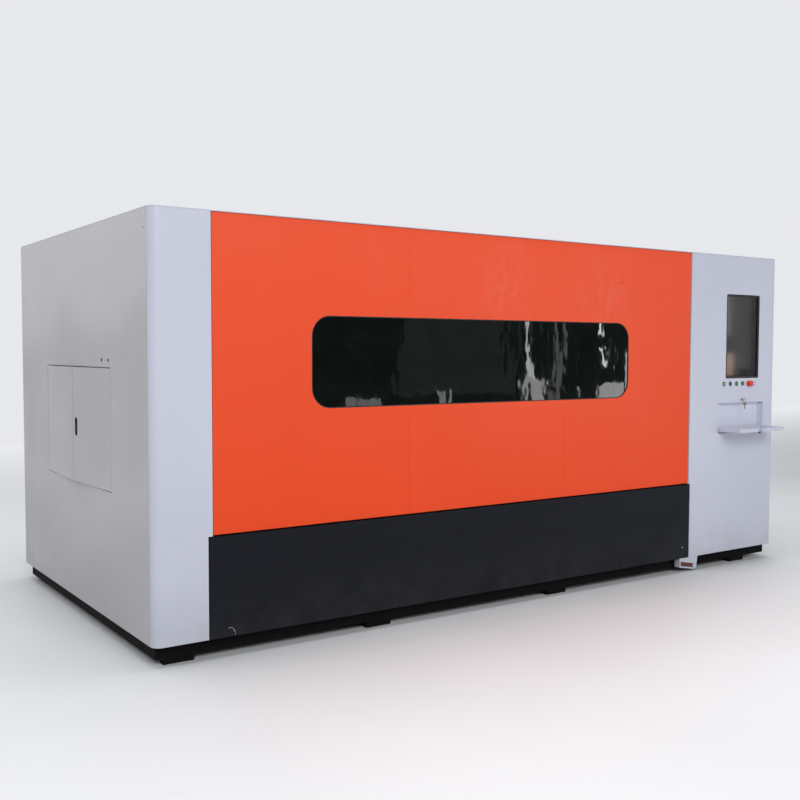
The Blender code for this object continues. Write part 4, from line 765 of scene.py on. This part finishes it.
def edgings():
    """Black rubber trim in the hatch's finger slot and a grommet in each cable hole."""
    trim = rubber_loop("finger_slot_trim", SLOT_TALL, SLOT_WIDE)
    pivot = Matrix.Translation(at(HATCH_PIVOT_X, HATCH_PIVOT_Y, 0.0))
    ajar = Matrix.Rotation(math.radians(HATCH_AJAR), 4, "Z")
    seat = Matrix.Translation(Vector((SLOT_TRIM_X, SLOT_Y - HATCH_PIVOT_Y, SLOT_Z)))
    trim.data.transform(pivot @ ajar @ seat)
    hand_over(trim, "rubber", "hatch_front")
    for number, y in enumerate(CABLE_HOLES_Y, 1):
        grommet = rubber_loop(f"cable_grommet_{number}", CABLE_HOLE_WIDE, CABLE_HOLE_WIDE)
        grommet.data.transform(Matrix.Translation(at(GROMMET_X, y, CABLE_HOLES_Z)))
        hand_over(grommet, "rubber", "frame")


def place_camera():
    """The photograph's view: position, direction and lens from the machine's own edges."""
    camera = bpy.data.cameras.new("camera")
    camera.lens = LENS
    camera.sensor_width = SENSOR
    camera.shift_y = SHIFT_UP
    camera.clip_end = 100
    holder = bpy.data.objects.new("camera", camera)
    bpy.context.scene.collection.objects.link(holder)
    turn = (
        Matrix.Rotation(-EYE_YAW, 4, "Z")
        @ Matrix.Rotation(math.pi / 2 + EYE_PITCH, 4, "X")
        @ Matrix.Rotation(EYE_ROLL, 4, "Z")
    )
    holder.matrix_world = Matrix.Translation(at(*EYE)) @ turn
    bpy.context.scene.camera = holder


def lamp(name, place, target, size, power, tone=NEUTRAL):
    """A soft box that looks at a target."""
    light = bpy.data.lights.new(name, "AREA")
    light.shape = "RECTANGLE"
    light.size, light.size_y = size
    light.energy = power
    light.color = tone
    holder = bpy.data.objects.new(name, light)
    bpy.context.scene.collection.objects.link(holder)
    holder.location = place
    holder.rotation_euler = (Vector(target) - Vector(place)).to_track_quat("-Z", "Y").to_euler()
    holder.visible_camera = False


def studio():
    """A pale floor, a pale surround and large soft boxes."""
    bpy.ops.mesh.primitive_plane_add(size=60, location=(0, 0, 0))
    floor = bpy.context.object
    floor.name = "floor"
    made, tree, shader, place = start_material("pale_floor", 0.55)
    tone = spread(tree, noise(tree, place, 0.7, 4.0), 0.3, 0.7)
    near_tone = blended(tree, tone, shade(FLOOR_TONE, 0.97), shade(FLOOR_TONE, 1.02))
    behind = spread(tree, add(tree, "ShaderNodeSeparateXYZ", {0: place}).outputs["Y"], FADE_START, FADE_END)
    tree.links.new(blended(tree, behind, near_tone, (0.0, 0.0, 0.0)), shader.inputs["Base Color"])
    shader.inputs["Emission Color"].default_value = (*BACKDROP, 1.0)
    tree.links.new(behind, shader.inputs["Emission Strength"])
    tree.links.new(spread(tree, behind, 0.0, 1.0, 0.5, 0.0), shader.inputs["Specular IOR Level"])
    paint(floor, made)
    world = bpy.data.worlds.new("surround")
    bpy.context.scene.world = world
    world.use_nodes = True
    tree = world.node_tree
    direction = add(tree, "ShaderNodeTexCoord").outputs["Generated"]
    turn = add(tree, "ShaderNodeSeparateXYZ", {0: direction}).outputs
    room = blended(tree, spread(tree, turn["Y"], -0.35, 0.35), FRONT_ROOM, BACK_ROOM)
    rays = add(tree, "ShaderNodeLightPath").outputs
    mirrored = calculated(tree, "MAXIMUM", rays["Is Glossy Ray"], rays["Is Transmission Ray"])
    mirrored = calculated(tree, "MULTIPLY", mirrored, spread(tree, turn["Y"], 0.0, 0.3))
    seen = calculated(tree, "MAXIMUM", rays["Is Camera Ray"], mirrored)
    background = tree.nodes["Background"]
    tree.links.new(blended(tree, seen, room, BACKDROP), background.inputs["Color"])
    light_from_above = spread(tree, turn["Z"], -0.2, 0.6, 0.82, 1.0)
    tree.links.new(calculated(tree, "MAXIMUM", seen, light_from_above), background.inputs["Strength"])
    for name, (stand, target, size, power) in SOFT_BOXES.items():
        lamp(name, at(*stand), at(*target), size, power)
    strips = WINDOW_LIGHTS + DISPLAY_LIGHTS
    for number, (x, z, width, height, power) in enumerate(strips, 1):
        tone = WARM if number == len(strips) else NEUTRAL
        lamp(f"strip_{number}", at(x, STRIP_Y, z), at(x - STRIP_LEAN, 0.0, z), (width, height), power, tone)


materials = make_materials()
for finish, nodes in NODE_PAINT.items():
    for node in nodes:
        paint(frame["nodes"][node], materials[finish])
        if node not in REMODELLED:
            dress(node, finish, FOLDS.get(node, SMALL_FOLD))
push_buttons()
stop_button()
key_lock()
door_locks()
edgings()
place_camera()
studio()
bpy.context.scene.view_settings.view_transform = "Standard"
